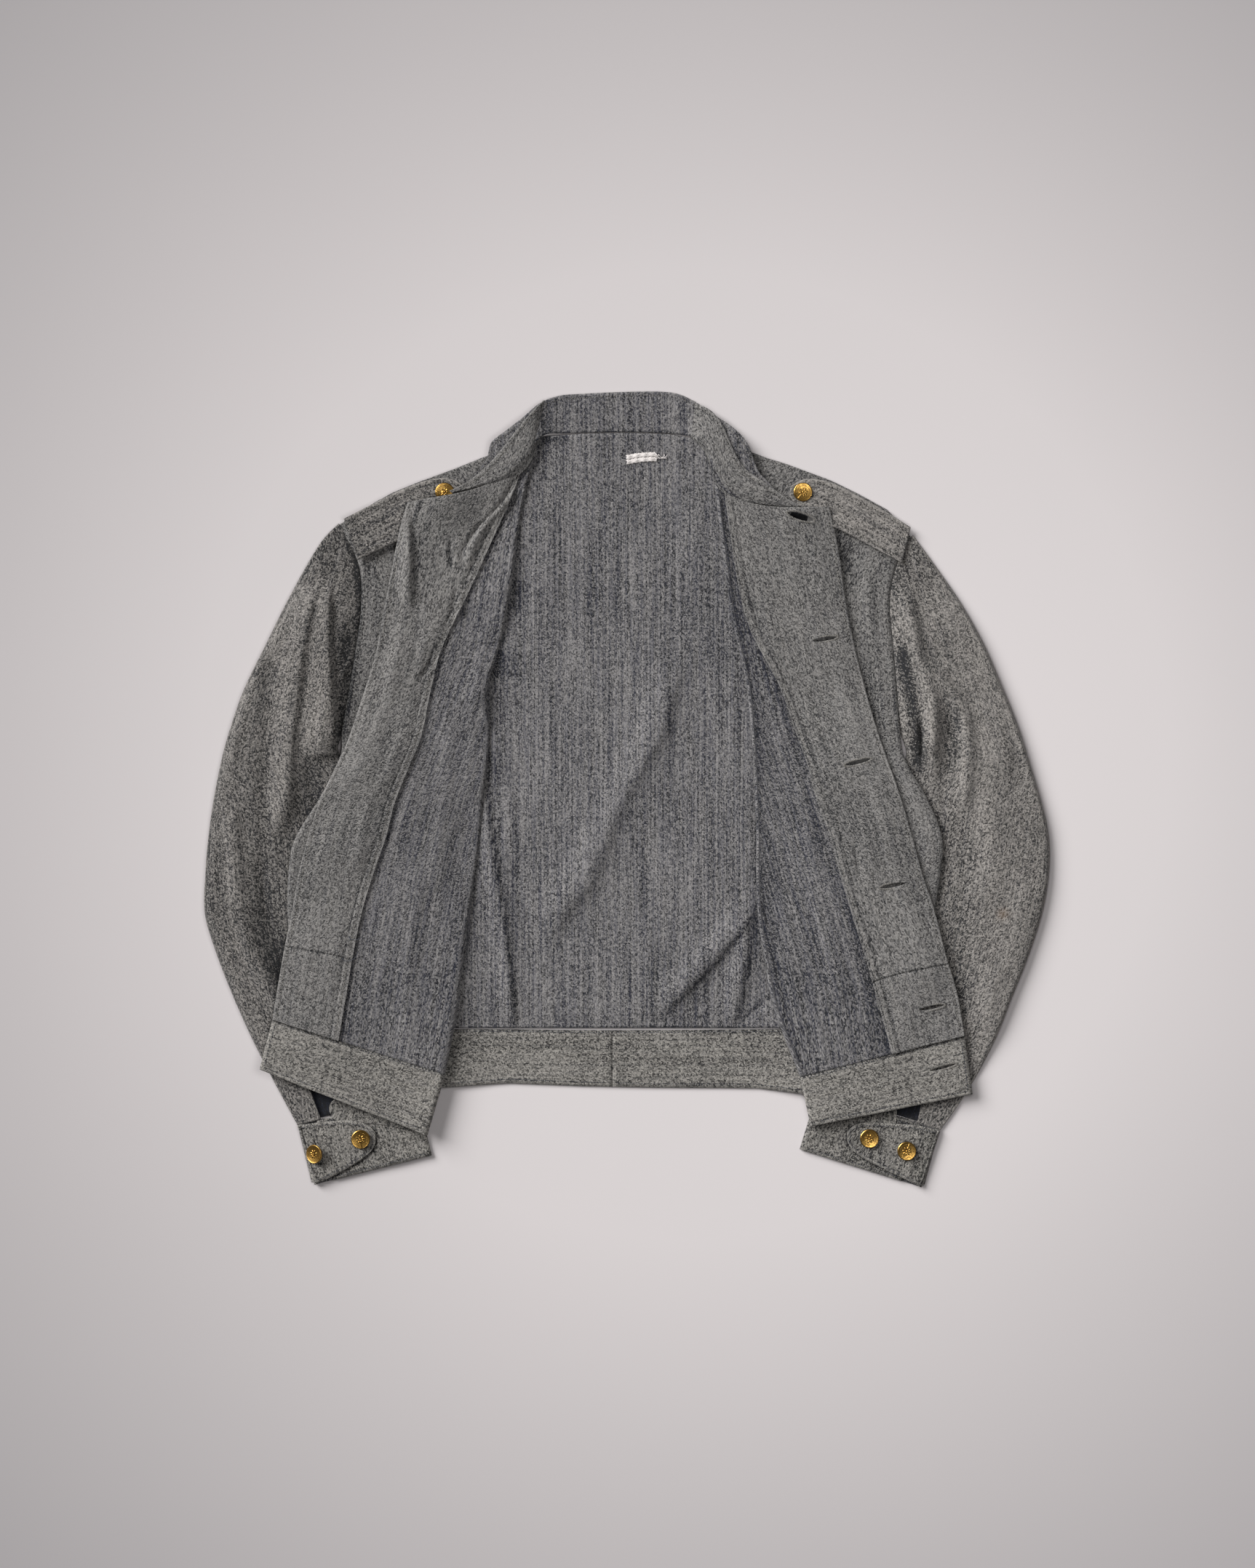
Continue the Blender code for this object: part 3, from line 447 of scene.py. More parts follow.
# The vent above each cuff: corners of the wedge that stays open
VENT_CORNERS = {
    "right": [(-274.0, -260.0), (-264.5, -285.5), (-252.0, -282.9), (-254.0, -262.0)],
    "left": [(256.5, -262.5), (251.5, -287.3), (232.0, -282.2), (232.0, -262.0)],
}

# Darker places, painted shade in gaps, hollows and creases and beside raised layers, a few broad darker
# patches, and one paler place, a painted highlight: the path, half widths left and right of its run, and the
# change of tone
# Painted shade in the deep opening of the top buttonhole, on the layers under it
TOP_BUTTONHOLE_SHADE = ([(136.0, 240.0), (163.0, 230.0)], 7.5, 7.5, -0.90)
SHADES = {
    "back": [
        ([(-74.0, 303.0), (-48.0, 302.0)], 6.0, 5.0, -0.30),
        ([(-97.0, 184.0), (-99.0, 150.0)], 17.0, 14.0, -0.26),
        ([(-110.0, 122.0), (-112.0, 92.0)], 20.0, 16.0, -0.28),
        ([(-114.0, 40.0), (-115.0, 0.0)], 12.0, 12.0, -0.20),
        ([(-121.0, 2.0), (-115.0, -50.0), (-104.4, -119.0), (-99.4, -162.0), (-94.8, -210.0)],
         1.4, 1.2, -0.46),
        ([(-116.0, -30.0), (-104.0, -90.0), (-98.0, -140.0)], 14.0, 4.0, -0.10),
        ([(84.0, 204.0), (92.0, 150.0), (98.0, 100.0)], 8.0, 14.0, -0.13),
        ([(113.5, -100.0), (96.5, -127.5), (68.5, -159.0), (27.0, -200.0)], 1.2, 1.2, -0.34),
        ([(113.0, -104.0), (110.0, -137.0), (103.0, -176.0)], 8.0, 8.0, -0.22),
        ([(112.0, -102.0), (108.6, -137.0), (101.0, -176.0), (95.0, -205.0)], 1.2, 1.2, -0.36),
        ([(96.0, -203.0), (112.0, -188.0), (124.0, -178.0)], 1.4, 1.4, -0.40),
        ([(110.0, -194.0), (120.0, -200.0)], 1.6, 1.6, -0.30),
    ],
    "right_strap": [
        ([(-186.0, 256.0), (-188.5, 240.0), (-197.0, 212.0)], 4.0, 4.0, -0.20),
        ([(-156.0, 268.0), (-150.0, 252.0)], 9.0, 9.0, -0.06),
    ],
    "left_strap": [
        TOP_BUTTONHOLE_SHADE,
        ([(172.0, 248.0), (177.0, 232.0), (182.0, 222.0)], 3.4, 3.0, -0.24),
    ],
    "right_sleeve": [
        ([(-246.0, 150.0), (-243.0, 100.0), (-246.0, 60.0), (-248.0, 30.0)], 5.0, 5.0, -0.34),
        ([(-248.5, 227.0), (-242.5, 213.0), (-234.5, 196.0), (-231.5, 162.0), (-235.5, 125.0)],
         2.6, 2.6, -0.40),
        ([(-262.0, 215.0), (-252.0, 180.0), (-246.0, 150.0)], 16.0, 12.0, -0.10),
        ([(-302.0, -130.0), (-291.0, -185.0), (-283.0, -222.0)], 14.0, 12.0, -0.22),
        ([(-330.0, -90.0), (-312.0, -150.0), (-292.0, -215.0), (-284.0, -262.0)], 34.0, 30.0, -0.13),
        ([(-352.0, -40.0), (-352.0, -120.0)], 8.0, 8.0, -0.10),
        ([(-272.0, 40.0), (-268.0, 0.0), (-276.0, -36.0)], 9.0, 7.0, -0.16),
    ],
    "left_sleeve": [
        ([(238.0, 205.0), (240.0, 170.0), (244.0, 140.0)], 18.0, 16.0, -0.20),
        ([(250.0, 150.0), (259.0, 110.0), (268.0, 84.0)], 9.0, 9.0, -0.08),
        ([(236.5, 132.0), (240.0, 106.0), (246.0, 76.0), (251.0, 44.0), (254.0, 8.0)], 5.0, 5.5, -0.60),
        ([(270.0, 85.0), (281.0, 74.0), (285.5, 62.0), (287.0, 40.0), (285.0, 10.0)], 1.8, 7.0, -0.22),
        ([(284.0, -90.0), (286.0, -150.0), (292.0, -200.0)], 10.0, 8.0, -0.10),
    ],
    "right_under": [
        ([(-238.0, 150.0), (-235.0, 110.0), (-241.0, 75.0), (-246.0, 40.0)], 6.0, 6.0, -0.30),
        ([(-230.8, 198.0), (-228.6, 161.0), (-233.0, 123.0)], 2.4, 2.4, -0.36),
        ([(-224.0, 202.0), (-223.0, 166.0)], 1.6, 1.6, -0.22),
        ([(-216.5, 202.0), (-215.5, 174.0)], 1.6, 1.6, -0.20),
    ],
    "left_under": [
        TOP_BUTTONHOLE_SHADE,
        ([(184.0, 226.0), (190.0, 200.0), (196.0, 172.0)], 9.0, 8.0, -0.28),
        ([(204.0, 140.0), (212.0, 100.0), (224.0, 50.0), (236.0, 0.0)], 7.0, 7.0, -0.10),
        ([(243.0, 40.0), (252.0, 10.0)], 5.0, 5.0, -0.25),
    ],
    "right_facing": [
        ([(-175.0, 254.0), (-180.4, 238.0), (-184.0, 223.0)], 2.0, 2.0, -0.42),
        ([(-184.0, 226.0), (-181.4, 203.0), (-178.0, 184.0)], 2.0, 2.4, -0.24),
        ([(-188.4, 246.0), (-189.4, 225.0), (-190.5, 190.0)], 2.4, 3.0, 0.12),
        ([(-153.0, 216.0), (-154.0, 202.0), (-150.5, 189.0)], 1.5, 1.5, -0.46),
        ([(-151.5, 116.0), (-160.0, 106.0), (-178.0, 91.5)], 1.6, 1.6, -0.28),
        ([(-201.0, 70.0), (-206.0, 40.0), (-213.0, 8.0)], 2.2, 2.2, -0.16),
    ],
    "left_facing": [
        ([(195.0, -40.0), (200.5, -78.0)], 1.8, 1.8, -0.16),
    ],
}

# How far down each facing's join lies below the plain form's, at its hem and at the front edge, in levels
JOIN_SLANT = {"right": (0.24, 0.0), "left": (0.65, 0.23)}

# How much darker the turned-back cloth, each sleeve and each cuff are
TURNED_TONE = {"right": -0.05, "left": -0.12}
SLEEVE_TONE = {"right": -0.08, "left": 0.0}
CUFF_TONE = {"right": -0.03, "left": -0.09}

# The free end of each cuff that rises beside the vent, from its tip
CUFF_END_ROWS = {
    "right": [
        # upper_x, upper_y, lower_x, lower_y
        (-257.2, -274.5, -257.2, -278.5),
        (-254.5, -269.5, -253.5, -285.0),
        (-246.0, -267.0, -244.0, -288.0),
        (-215.0, -276.0, -214.0, -290.0),
        (-186.0, -284.0, -186.0, -296.0),
    ],
    "left": [
        # upper_x, upper_y, lower_x, lower_y
        (233.4, -277.5, 232.6, -289.0),
        (226.0, -275.0, 225.6, -289.5),
        (214.0, -272.0, 214.0, -290.0),
        (196.0, -270.0, 197.0, -291.0),
        (180.0, -272.0, 182.0, -292.0),
    ],
}

# Yarn and stitch sizes
STITCH_PITCH = 2.6
STITCH_LENGTH = 1.9
STITCH_RADIUS = 0.28
STITCH_INSET = 3.4
CUFF_STITCH_INSET = 2.6
SEAM_STITCH_INSET = 1.8
STRAP_END_INSETS = (3.4, 8.4)

# Width and length of each pattern in the twill: one cell of specks, one slub or one worn patch
SPECK = (1.0204, 1.3158)
FINE_SPECK = (0.8, 1.1111)
NARROW_STREAK = (1.7857, 125.0)
BROAD_STREAK = (8.3333, 454.55)
WORN_CLOUD = (62.5, 111.11)
BLUE_STREAK = (2.6316, 71.429)
BLUE_FLECK = (1.4286, 2.0)
TARNISH_PATCH = 2.381
BRASS_GRAIN = 0.38462
THREAD_TWIST = 1.1111
TAPE_RIB = 2.381
TAPE_SOIL = 3.8462
PAPER_CLOUD = 333.33

# Changes of tone, and how wide each reaches: rubbed pale edges and a stain, which the cloth has, painted
# shade in stitch grooves, in seams, beside the facing's hem and on the roll of each fold, a painted highlight
# along a sleeve's outer edge, and each strap's own tone
RUBBED_EDGE_TONE = 0.19
RUBBED_EDGE_WIDTH = 2.2
GROOVE_SHADE = -0.2
GROOVE_WIDTH = 1.1
SEAM_TONE = -0.32
SEAM_WIDTH = 1.4
STAIN_STRENGTH = 0.55
STAIN_RADIUS = 4.5
HEM_SHADE_TONE = {"right": -0.05, "left": -0.20}
FOLD_TURN_SHADE = {"right": 0.0, "left": -0.16}
SLEEVE_EDGE_HIGHLIGHT = {"right": 0.0, "left": 0.24}
STRAP_TONE = {"right": -0.14, "left": 0.01}

# How uneven each cloth lies
UNEVEN = {
    # height, how far it is raised as a share of the height, length of the waves, which waves
    "back": (0.6, 1.0, 90.0, 1.0),
    "turned": (0.5, 0.0, 74.0, 2.0),
    "band": (0.25, 1.0, 60.0, 4.0),
    "right_sleeve": (0.7, 1.0, 62.0, 5.0),
    "left_sleeve": (0.7, 1.0, 62.0, 7.0),
    "cuff": (0.35, 1.0, 34.0, 8.0),
    "cuff_tab": (0.2, 1.0, 40.0, 9.0),
    "collar": (0.3, 1.0, 40.0, 3.0),
    "collar_upper": (0.4, 0.0, 30.0, 2.0),
    "strap": (0.25, 1.0, 50.0, 6.0),
}

# Where each cloth is cut from the weave, so that neighbours don't repeat it
WEAVE_START = {
    "turned": 700.0, "facing": 900.0, "band": 40.0, "sleeve": 1500.0, "cuff": 300.0, "cuff_tab": 600.0,
    "cuff_end": 900.0, "collar_upper": 200.0,
}

# Forms that the scene adds to the plain ones
FAR_INSIDE = 60.0
LONGEST_FADE = 26.0
NECKLINE_ROWS = 1.5
TURN_LIFT_REACH = 26.0
TOP_BUTTONHOLE_LIFT = 3.2
TOP_BUTTONHOLE_REACH = 26.0
FLAP_DROP_REACH = 30.0
SEAM_EASE = 0.8
HEM_STEP = 0.8
FACING_EDGE_WEAR = {"right": 0.0, "left": 1.5}
LEVEL_LENGTH = 40.0
PAST_ALL_LEVELS = 99.0
SLEEVE_FULLNESS = 4.6
SLEEVE_ROUND_EDGE = {"right": 9.0, "left": 4.5}
SLEEVE_EDGE_STRIP = 12.0
ARMHOLE_Y = 30.0
CUFF_END_CLOTH = 0.9
TAB_ROOT_DROP = 3.4
TAB_ROOT_REACH = 4.2
STRAP_CLOTH = 2.0
STRAP_ARCH = 2.4
STRAP_END_LIFT = {"right": 1.8, "left": 0.5}

# Steps in the sheets' grids
FRONT_STEPS = 235
FRONT_COLUMNS = {"under": 40, "turn": 10, "hidden": 34, "facing": 72}
BAND_STEPS = 16
BAND_COLUMNS = {"under": 22, "turn": 10, "hidden": 24, "facing": 24}
BACK_STEPS = 150
BACK_COLUMNS = 161
SLEEVE_STEPS = 212
SLEEVE_COLUMNS = 76
UNDER_SLEEVE_STRIDE = 3
CUFF_UPPER_COLUMNS = 40
CUFF_UNDER_COLUMNS = 30

# The view, in metres: the photo's frame, straight down
PHOTO_SCALE = 0.00063
FRAME_HEIGHT = 2156 * PHOTO_SCALE
FRAME_MIDDLE = (0.0005, 0.0045)
CAMERA_HEIGHT = 2.4
SENSOR_WIDTH = 36.0


def smooth(value):
    """Ease from 0 to 1, level at both ends."""
    bounded = np.clip(value, 0.0, 1.0)
    return bounded * bounded * (3.0 - 2.0 * bounded)


def bell(distance, width):
    """1 at no distance, fading to nothing at about twice the width."""
    return np.exp(-(distance / width) ** 2)


def shares(count):
    """Even shares from 0 to 1, as one row."""
    return np.linspace(0.0, 1.0, count)[None, :]


def column(rows, number):
    return rows[:, number:number + 1]


def between(rows, share, start=0, end=2):
    """Places at shares of the way from one pair of columns, x and y, to another pair."""
    x = column(rows, start) + (column(rows, end) - column(rows, start)) * share
    y = column(rows, start + 1) + (column(rows, end + 1) - column(rows, start + 1)) * share
    return x, y


def distance_between(rows, start=0, end=2):
    """How far one pair of columns, x and y, lies from another pair."""
    return np.hypot(column(rows, end) - column(rows, start), column(rows, end + 1) - column(rows, start + 1))


def as_grid(*values):
    """One grid of points, or of places in the weave, from a number or an array for each axis."""
    return np.stack(np.broadcast_arrays(*values), axis=-1)


def rows_at(rows, levels):
    """Read a table at many levels between its rows, on a smooth curve through them."""
    data = np.array(rows, dtype=float)
    last = len(data) - 1
    start = np.minimum(np.floor(levels).astype(int), last - 1)
    part = (levels - start)[:, None]
    before = data[np.maximum(start - 1, 0)]
    here = data[start]
    after = data[start + 1]
    beyond = data[np.minimum(start + 2, last)]
    return 0.5 * (
        2.0 * here
        + (after - before) * part
        + (2.0 * before - 5.0 * here + 4.0 * after - beyond) * part ** 2
        + (3.0 * here - before - 3.0 * after + beyond) * part ** 3
    )


def strip(table, steps, columns):
    """A table read in even steps, with the places across each of its rows."""
    rows = rows_at(table, np.linspace(0.0, len(table) - 1.0, steps))
    x, y = between(rows, shares(columns))
    return rows, x, y


def relief(folds, x, y):
    """Height, or tone, of a group of folds at many points. Each fades out at both ends of its path."""
    total = np.zeros_like(x)
    for path, left, right, height in folds:
        nearest = np.full(x.shape, 1e9)
        turn = np.zeros_like(x)
        along = np.zeros_like(x)
        start = 0.0
        for (x0, y0), (x1, y1) in zip(path, path[1:]):
            run = math.hypot(x1 - x0, y1 - y0)
            place = ((x - x0) * (x1 - x0) + (y - y0) * (y1 - y0)) / run
            held = np.clip(place, 0.0, run) / run
            off_x = x - x0 - (x1 - x0) * held
            off_y = y - y0 - (y1 - y0) * held
            away = np.hypot(off_x, off_y)
            closer = away < nearest
            nearest = np.where(closer, away, nearest)
            turn = np.where(closer, (x1 - x0) * off_y - (y1 - y0) * off_x, turn)
            along = np.where(closer, start + place, along)
            start += run
        fade = min(LONGEST_FADE, start * 0.4)
        ends = smooth((along + fade * 0.2) / fade) * smooth((start + fade * 0.2 - along) / fade)
        total += height * ends * bell(nearest, np.where(turn > 0, left, right))
    return total


def ripple(x, y, wave, seed):
    """A gentle unevenness between -1 and 1, from five crossed waves, which the seed scatters."""
    total = np.zeros_like(x)
    for turn in range(5):
        angle = seed * 1.7 + turn * 2.4
        size = wave * (0.7 + 0.22 * turn)
        total += np.sin((x * math.cos(angle) + y * math.sin(angle)) * 2 * math.pi / size + seed * 3.1 + turn)
    return total / 5.0


def uneven(cloth, x, y):
    """How far a cloth lies off its smooth form."""
    height, raised, wave, seed = UNEVEN[cloth]
    return height * (raised + ripple(x, y, wave, seed))


def ground(x, y):
    """How far the body is lifted where it lies on the sleeves."""
    across = smooth((np.abs(x) - LIFT_START_X) / (LIFT_FULL_X - LIFT_START_X))
    along = smooth((LIFT_START_Y - y) / (LIFT_START_Y - LIFT_FULL_Y))
    return SLEEVE_LIFT * across * along


# Materials
def linear(hex_colour):
    """An sRGB hex colour as linear red, green, blue and alpha."""
    values = [int(hex_colour[start:start + 2], 16) / 255 for start in (1, 3, 5)]
    return [v / 12.92 if v <= 0.04045 else ((v + 0.055) / 1.055) ** 2.4 for v in values] + [1.0]


def fill_inputs(tree, item, inputs):
    """Give each named input of a node a value or a link."""
    for key, value in inputs.items():
        if isinstance(value, bpy.types.NodeSocket):
            tree.links.new(value, item.inputs[key])
        else:
            item.inputs[key].default_value = value


def add_node(tree, kind, inputs=None, **settings):
    """Add a node with its settings and inputs."""
    item = tree.nodes.new(kind)
    for key, value in settings.items():
        setattr(item, key, value)
    fill_inputs(tree, item, inputs or {})
    return item


def set_stops(ramp, *stops):
    """Place the colours of a ramp."""
    for element, (position, colour) in zip(ramp.color_ramp.elements, stops):
        element.position = position
        element.color = linear(colour)


def new_surface(name):
    material = bpy.data.materials.new(name)
    material.use_nodes = True
    tree = material.node_tree
    return material, tree, tree.nodes["Principled BSDF"]


def per_metre(size):
    """A pattern's scale: how many of a size in millimetres go into a metre."""
    return 1.0 / (size * MILLIMETRE)


def woven_cotton(name, dark, light, navy, navy_share, streak_share):
    """Cotton twill of light and dark yarns: single yarns show as fine specks, slubs as long faint streaks,
    and finished edges are rubbed pale. Painted shade and painted highlight noted on each point darken
    hollows, creases and gaps and lighten some high places, and stitch grooves are darkened as painted shade.
    The specks are drawn a little over the real yarn so that they show."""
    material, tree, shader = new_surface(name)
    place = add_node(tree, "ShaderNodeUVMap", uv_map="cloth").outputs["UV"]

    def laid(size, turn):
        """The cloth's own map, turned, and counted in cells of a pattern."""
        return add_node(tree, "ShaderNodeMapping", {
            "Vector": place, "Rotation": (0.0, 0.0, turn),
            "Scale": (per_metre(size[0]), per_metre(size[1]), 1.0)}).outputs["Vector"]

    def yarn(size, turn, detail, roughness):
        """Soft light and dark along the yarns."""
        return add_node(tree, "ShaderNodeTexNoise", {
            "Vector": laid(size, turn), "Scale": 1.0, "Detail": detail, "Roughness": roughness},
            noise_dimensions="2D").outputs["Fac"]

    def spread(source, amount):
        """The source less its middle, times an amount."""
        shifted = add_node(tree, "ShaderNodeMath", {0: source, 1: 0.5}, operation="SUBTRACT").outputs[0]
        return add_node(tree, "ShaderNodeMath", {0: shifted, 1: amount}, operation="MULTIPLY").outputs[0]

    def total(*sources):
        result = sources[0]
        for source in sources[1:]:
            result = add_node(tree, "ShaderNodeMath", {0: result, 1: source}, operation="ADD").outputs[0]
        return result

    cell = add_node(tree, "ShaderNodeTexVoronoi", {
        "Vector": laid(SPECK, 0.6), "Scale": 1.0}, voronoi_dimensions="2D").outputs["Color"]
    speck = add_node(tree, "ShaderNodeSeparateColor", {"Color": cell}).outputs["Red"]
    fine = yarn(FINE_SPECK, -0.5, 1.0, 0.5)
    tone = total(
        spread(speck, 0.78), spread(fine, 0.85),
        spread(yarn(NARROW_STREAK, 0.0, 1.0, 0.6), 0.8 * streak_share),
        spread(yarn(BROAD_STREAK, 0.0, 2.0, 0.6), 0.35 * streak_share),
        spread(yarn(WORN_CLOUD, 0.3, 3.0, 0.55), 0.4),
    )
    edge = add_node(tree, "ShaderNodeAttribute", attribute_name="edge").outputs["Fac"]
    wear_and_shading = add_node(tree, "ShaderNodeMapRange", {
        "Value": edge, "From Min": 0.0, "From Max": RUBBED_EDGE_WIDTH,
        "To Min": RUBBED_EDGE_TONE, "To Max": 0.0}).outputs["Result"]
    # Painted shade and painted highlight, with the cloth's own tone, noted on each point of the sheet
    tone_and_shade = add_node(tree, "ShaderNodeAttribute", attribute_name="tone_and_shade").outputs["Fac"]
    # The stitch groove is drawn darker: painted shade in the groove
    from_stitches = add_node(tree, "ShaderNodeMath", {
        0: edge, 1: STITCH_INSET}, operation="SUBTRACT").outputs[0]
    groove_off = add_node(tree, "ShaderNodeMath", {0: from_stitches}, operation="ABSOLUTE").outputs[0]
    groove = add_node(tree, "ShaderNodeMapRange", {
        "Value": groove_off, "From Min": 0.0, "From Max": GROOVE_WIDTH,
        "To Min": GROOVE_SHADE, "To Max": 0.0}).outputs["Result"]
    tone = total(tone, wear_and_shading, tone_and_shade, groove)
    centred = add_node(tree, "ShaderNodeMath", {0: tone, 1: 0.5}, operation="ADD").outputs[0]
    ramp = add_node(tree, "ShaderNodeValToRGB", {"Fac": centred})
    set_stops(ramp, (0.04, dark), (0.96, light))
    blue = total(spread(yarn(BLUE_STREAK, 0.0, 2.0, 0.7), 2.4), spread(yarn(BLUE_FLECK, 0.8, 1.0, 0.5), 2.0))
    blue_part = add_node(tree, "ShaderNodeMapRange", {
        "Value": blue, "From Min": -0.25, "From Max": 0.55,
        "To Min": 0.0, "To Max": navy_share}).outputs["Result"]
    mixed = add_node(tree, "ShaderNodeMix", {
        "Factor": blue_part, "A": ramp.outputs["Color"], "B": linear(navy)}, data_type="RGBA")
    stain = add_node(tree, "ShaderNodeAttribute", attribute_name="stain").outputs["Fac"]
    stained = add_node(tree, "ShaderNodeMix", {
        "Factor": stain, "A": mixed.outputs["Result"], "B": linear("#5a4632")}, data_type="RGBA")
    height = total(spread(speck, 0.4), spread(fine, 0.8), groove)
    bump = add_node(tree, "ShaderNodeBump", {
        "Strength": 0.45, "Distance": 0.5 * MILLIMETRE, "Height": height})
    fill_inputs(tree, shader, {
        "Base Color": stained.outputs["Result"], "Normal": bump.outputs["Normal"], "Roughness": 0.92,
        "Sheen Weight": 0.12, "Sheen Roughness": 0.6, "Specular IOR Level": 0.25})
    return material


def gilt_brass(name):
    """Stamped gilding metal with worn gilding: warm bright high places and brown tarnish in the hollows."""
    material, tree, shader = new_surface(name)
    place = add_node(tree, "ShaderNodeTexCoord").outputs["Object"]
    patch = add_node(tree, "ShaderNodeTexNoise", {
        "Vector": place, "Scale": per_metre(TARNISH_PATCH), "Detail": 3.0, "Roughness": 0.6}).outputs["Fac"]
    hollow = add_node(tree, "ShaderNodeAttribute", attribute_name="hollow").outputs["Fac"]
    wear = add_node(tree, "ShaderNodeMath", {0: patch, 1: hollow}, operation="ADD").outputs[0]
    tone = add_node(tree, "ShaderNodeValToRGB", {"Fac": wear})
    set_stops(tone, (0.42, "#bd9550"), (0.8333, "#3a2710"))
    rough = add_node(tree, "ShaderNodeMapRange", {
        "Value": wear, "From Min": 0.3, "From Max": 1.1, "To Min": 0.24, "To Max": 0.5}).outputs["Result"]
    grain = add_node(tree, "ShaderNodeTexNoise", {
        "Vector": place, "Scale": per_metre(BRASS_GRAIN), "Detail": 1.0}).outputs["Fac"]
    bump = add_node(tree, "ShaderNodeBump", {"Strength": 0.3, "Distance": 0.2 * MILLIMETRE, "Height": grain})
    fill_inputs(tree, shader, {
        "Base Color": tone.outputs["Color"], "Roughness": rough, "Normal": bump.outputs["Normal"],
        "Metallic": 1.0})
    return material


def plain_thread(name, colour):
    """Matt cotton thread, twisted: fine light and dark along each stitch."""
    material, tree, shader = new_surface(name)
    place = add_node(tree, "ShaderNodeTexCoord").outputs["Object"]
    twist = add_node(tree, "ShaderNodeTexNoise", {
        "Vector": place, "Scale": per_metre(THREAD_TWIST), "Detail": 1.0}).outputs["Fac"]
    in_shade = [value * 0.72 for value in linear(colour)[:3]] + [1.0]
    tone = add_node(tree, "ShaderNodeMix", {
        "Factor": twist, "A": in_shade, "B": linear(colour)}, data_type="RGBA")
    fill_inputs(tree, shader, {"Base Color": tone.outputs["Result"], "Roughness": 0.9})
    return material


def white_tape(name):
    """Bleached cotton tape: fine twill, faint soil and stain."""
    material, tree, shader = new_surface(name)
    place = add_node(tree, "ShaderNodeTexCoord").outputs["Object"]
    rib = add_node(tree, "ShaderNodeTexWave", {
        "Vector": place, "Scale": per_metre(TAPE_RIB), "Distortion": 1.2, "Detail": 1.0},
        bands_direction="DIAGONAL").outputs["Fac"]
    soil = add_node(tree, "ShaderNodeTexNoise", {
        "Vector": place, "Scale": per_metre(TAPE_SOIL), "Detail": 3.0}).outputs["Fac"]
    tone = add_node(tree, "ShaderNodeMix", {
        "Factor": soil, "A": linear("#e4dfdc"), "B": linear("#bdb5b1")}, data_type="RGBA")
    bump = add_node(tree, "ShaderNodeBump", {"Strength": 0.5, "Distance": 0.4 * MILLIMETRE, "Height": rib})
    fill_inputs(tree, shader, {
        "Base Color": tone.outputs["Result"], "Normal": bump.outputs["Normal"], "Roughness": 0.9})
    return material


def studio_paper(name):
    """Matt background paper with the faintest unevenness, and painted shade that greys it towards the
    corners, as the light falls off.
    """
    material, tree, shader = new_surface(name)
    place = add_node(tree, "ShaderNodeTexCoord").outputs["Object"]
    cloud = add_node(tree, "ShaderNodeTexNoise", {
        "Vector": place, "Scale": per_metre(PAPER_CLOUD), "Detail": 2.0}).outputs["Fac"]
    tone = add_node(tree, "ShaderNodeMix", {
        "Factor": cloud, "A": linear("#c7c1c1"), "B": linear("#c4bfbf")}, data_type="RGBA")
    # Painted shade: the paper is drawn greyer away from a point near the middle, where the lamps' light falls
    # off
    away = add_node(
        tree, "ShaderNodeVectorMath", {0: place, 1: (0.05, 0.03, 0.0)}, operation="DISTANCE",
    ).outputs["Value"]
    corner = add_node(tree, "ShaderNodeMapRange", {
        "Value": away, "From Min": 0.42, "From Max": 0.95, "To Min": 0.0, "To Max": 1.0}).outputs["Result"]
    shaded = add_node(tree, "ShaderNodeMix", {
        "Factor": corner, "A": tone.outputs["Result"], "B": linear("#a19d9e")}, data_type="RGBA")
    fill_inputs(tree, shader, {"Base Color": shaded.outputs["Result"], "Roughness": 0.85})
    return material


OUTSIDE = woven_cotton("cotton_twill_outside", "#141415", "#878481", "#2d313b", 0.20, 0.5)
# The sleeves' and straps' cloth is a little paler: faded with wear, and partly painted light where they bulge
# up
SLEEVE = woven_cotton("cotton_twill_sleeve", "#161616", "#928d88", "#31353f", 0.16, 0.6)
INSIDE = woven_cotton("cotton_twill_inside", "#121317", "#868382", "#262a3c", 0.38, 1.0)
BAND = woven_cotton("cotton_twill_band", "#171615", "#94908a", "#33363f", 0.16, 0.6)
BRASS = gilt_brass("gilt_brass_stamped")
THREAD = plain_thread("cotton_thread", "#85817b")
DARK_THREAD = plain_thread("buttonhole_thread", "#4b4d55")
TAPE = white_tape("white_cotton_tape")
PAPER = studio_paper("studio_paper")


# Sheets of cloth
def select_only(*pieces):
    for item in bpy.context.view_layer.objects:
        item.select_set(False)
    for item in pieces:
        item.select_set(True)
    bpy.context.view_layer.objects.active = pieces[0]


def apply_all(piece):
    select_only(piece)
    for modifier in list(piece.modifiers):
        bpy.ops.object.modifier_apply(modifier=modifier.name)


def put_in_scene(name, data):
    """A new object in the scene with this mesh, light or camera."""
    item = bpy.data.objects.new(name, data)
    bpy.context.scene.collection.objects.link(item)
    return item


def note_on_points(mesh, name, values):
    """Write one number on each point of a mesh, for its material to read."""
    note = mesh.attributes.new(name, "FLOAT", "POINT")
    note.data.foreach_set("value", np.ravel(values).astype(float))


def keep_piece(piece, slot, *nodes):
    """Ride on the one body and stand for the plain solids, hiding them. slot, the name of its finish, is not
    used.
    """
    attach(piece, "root")
    if nodes:
        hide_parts(*nodes)


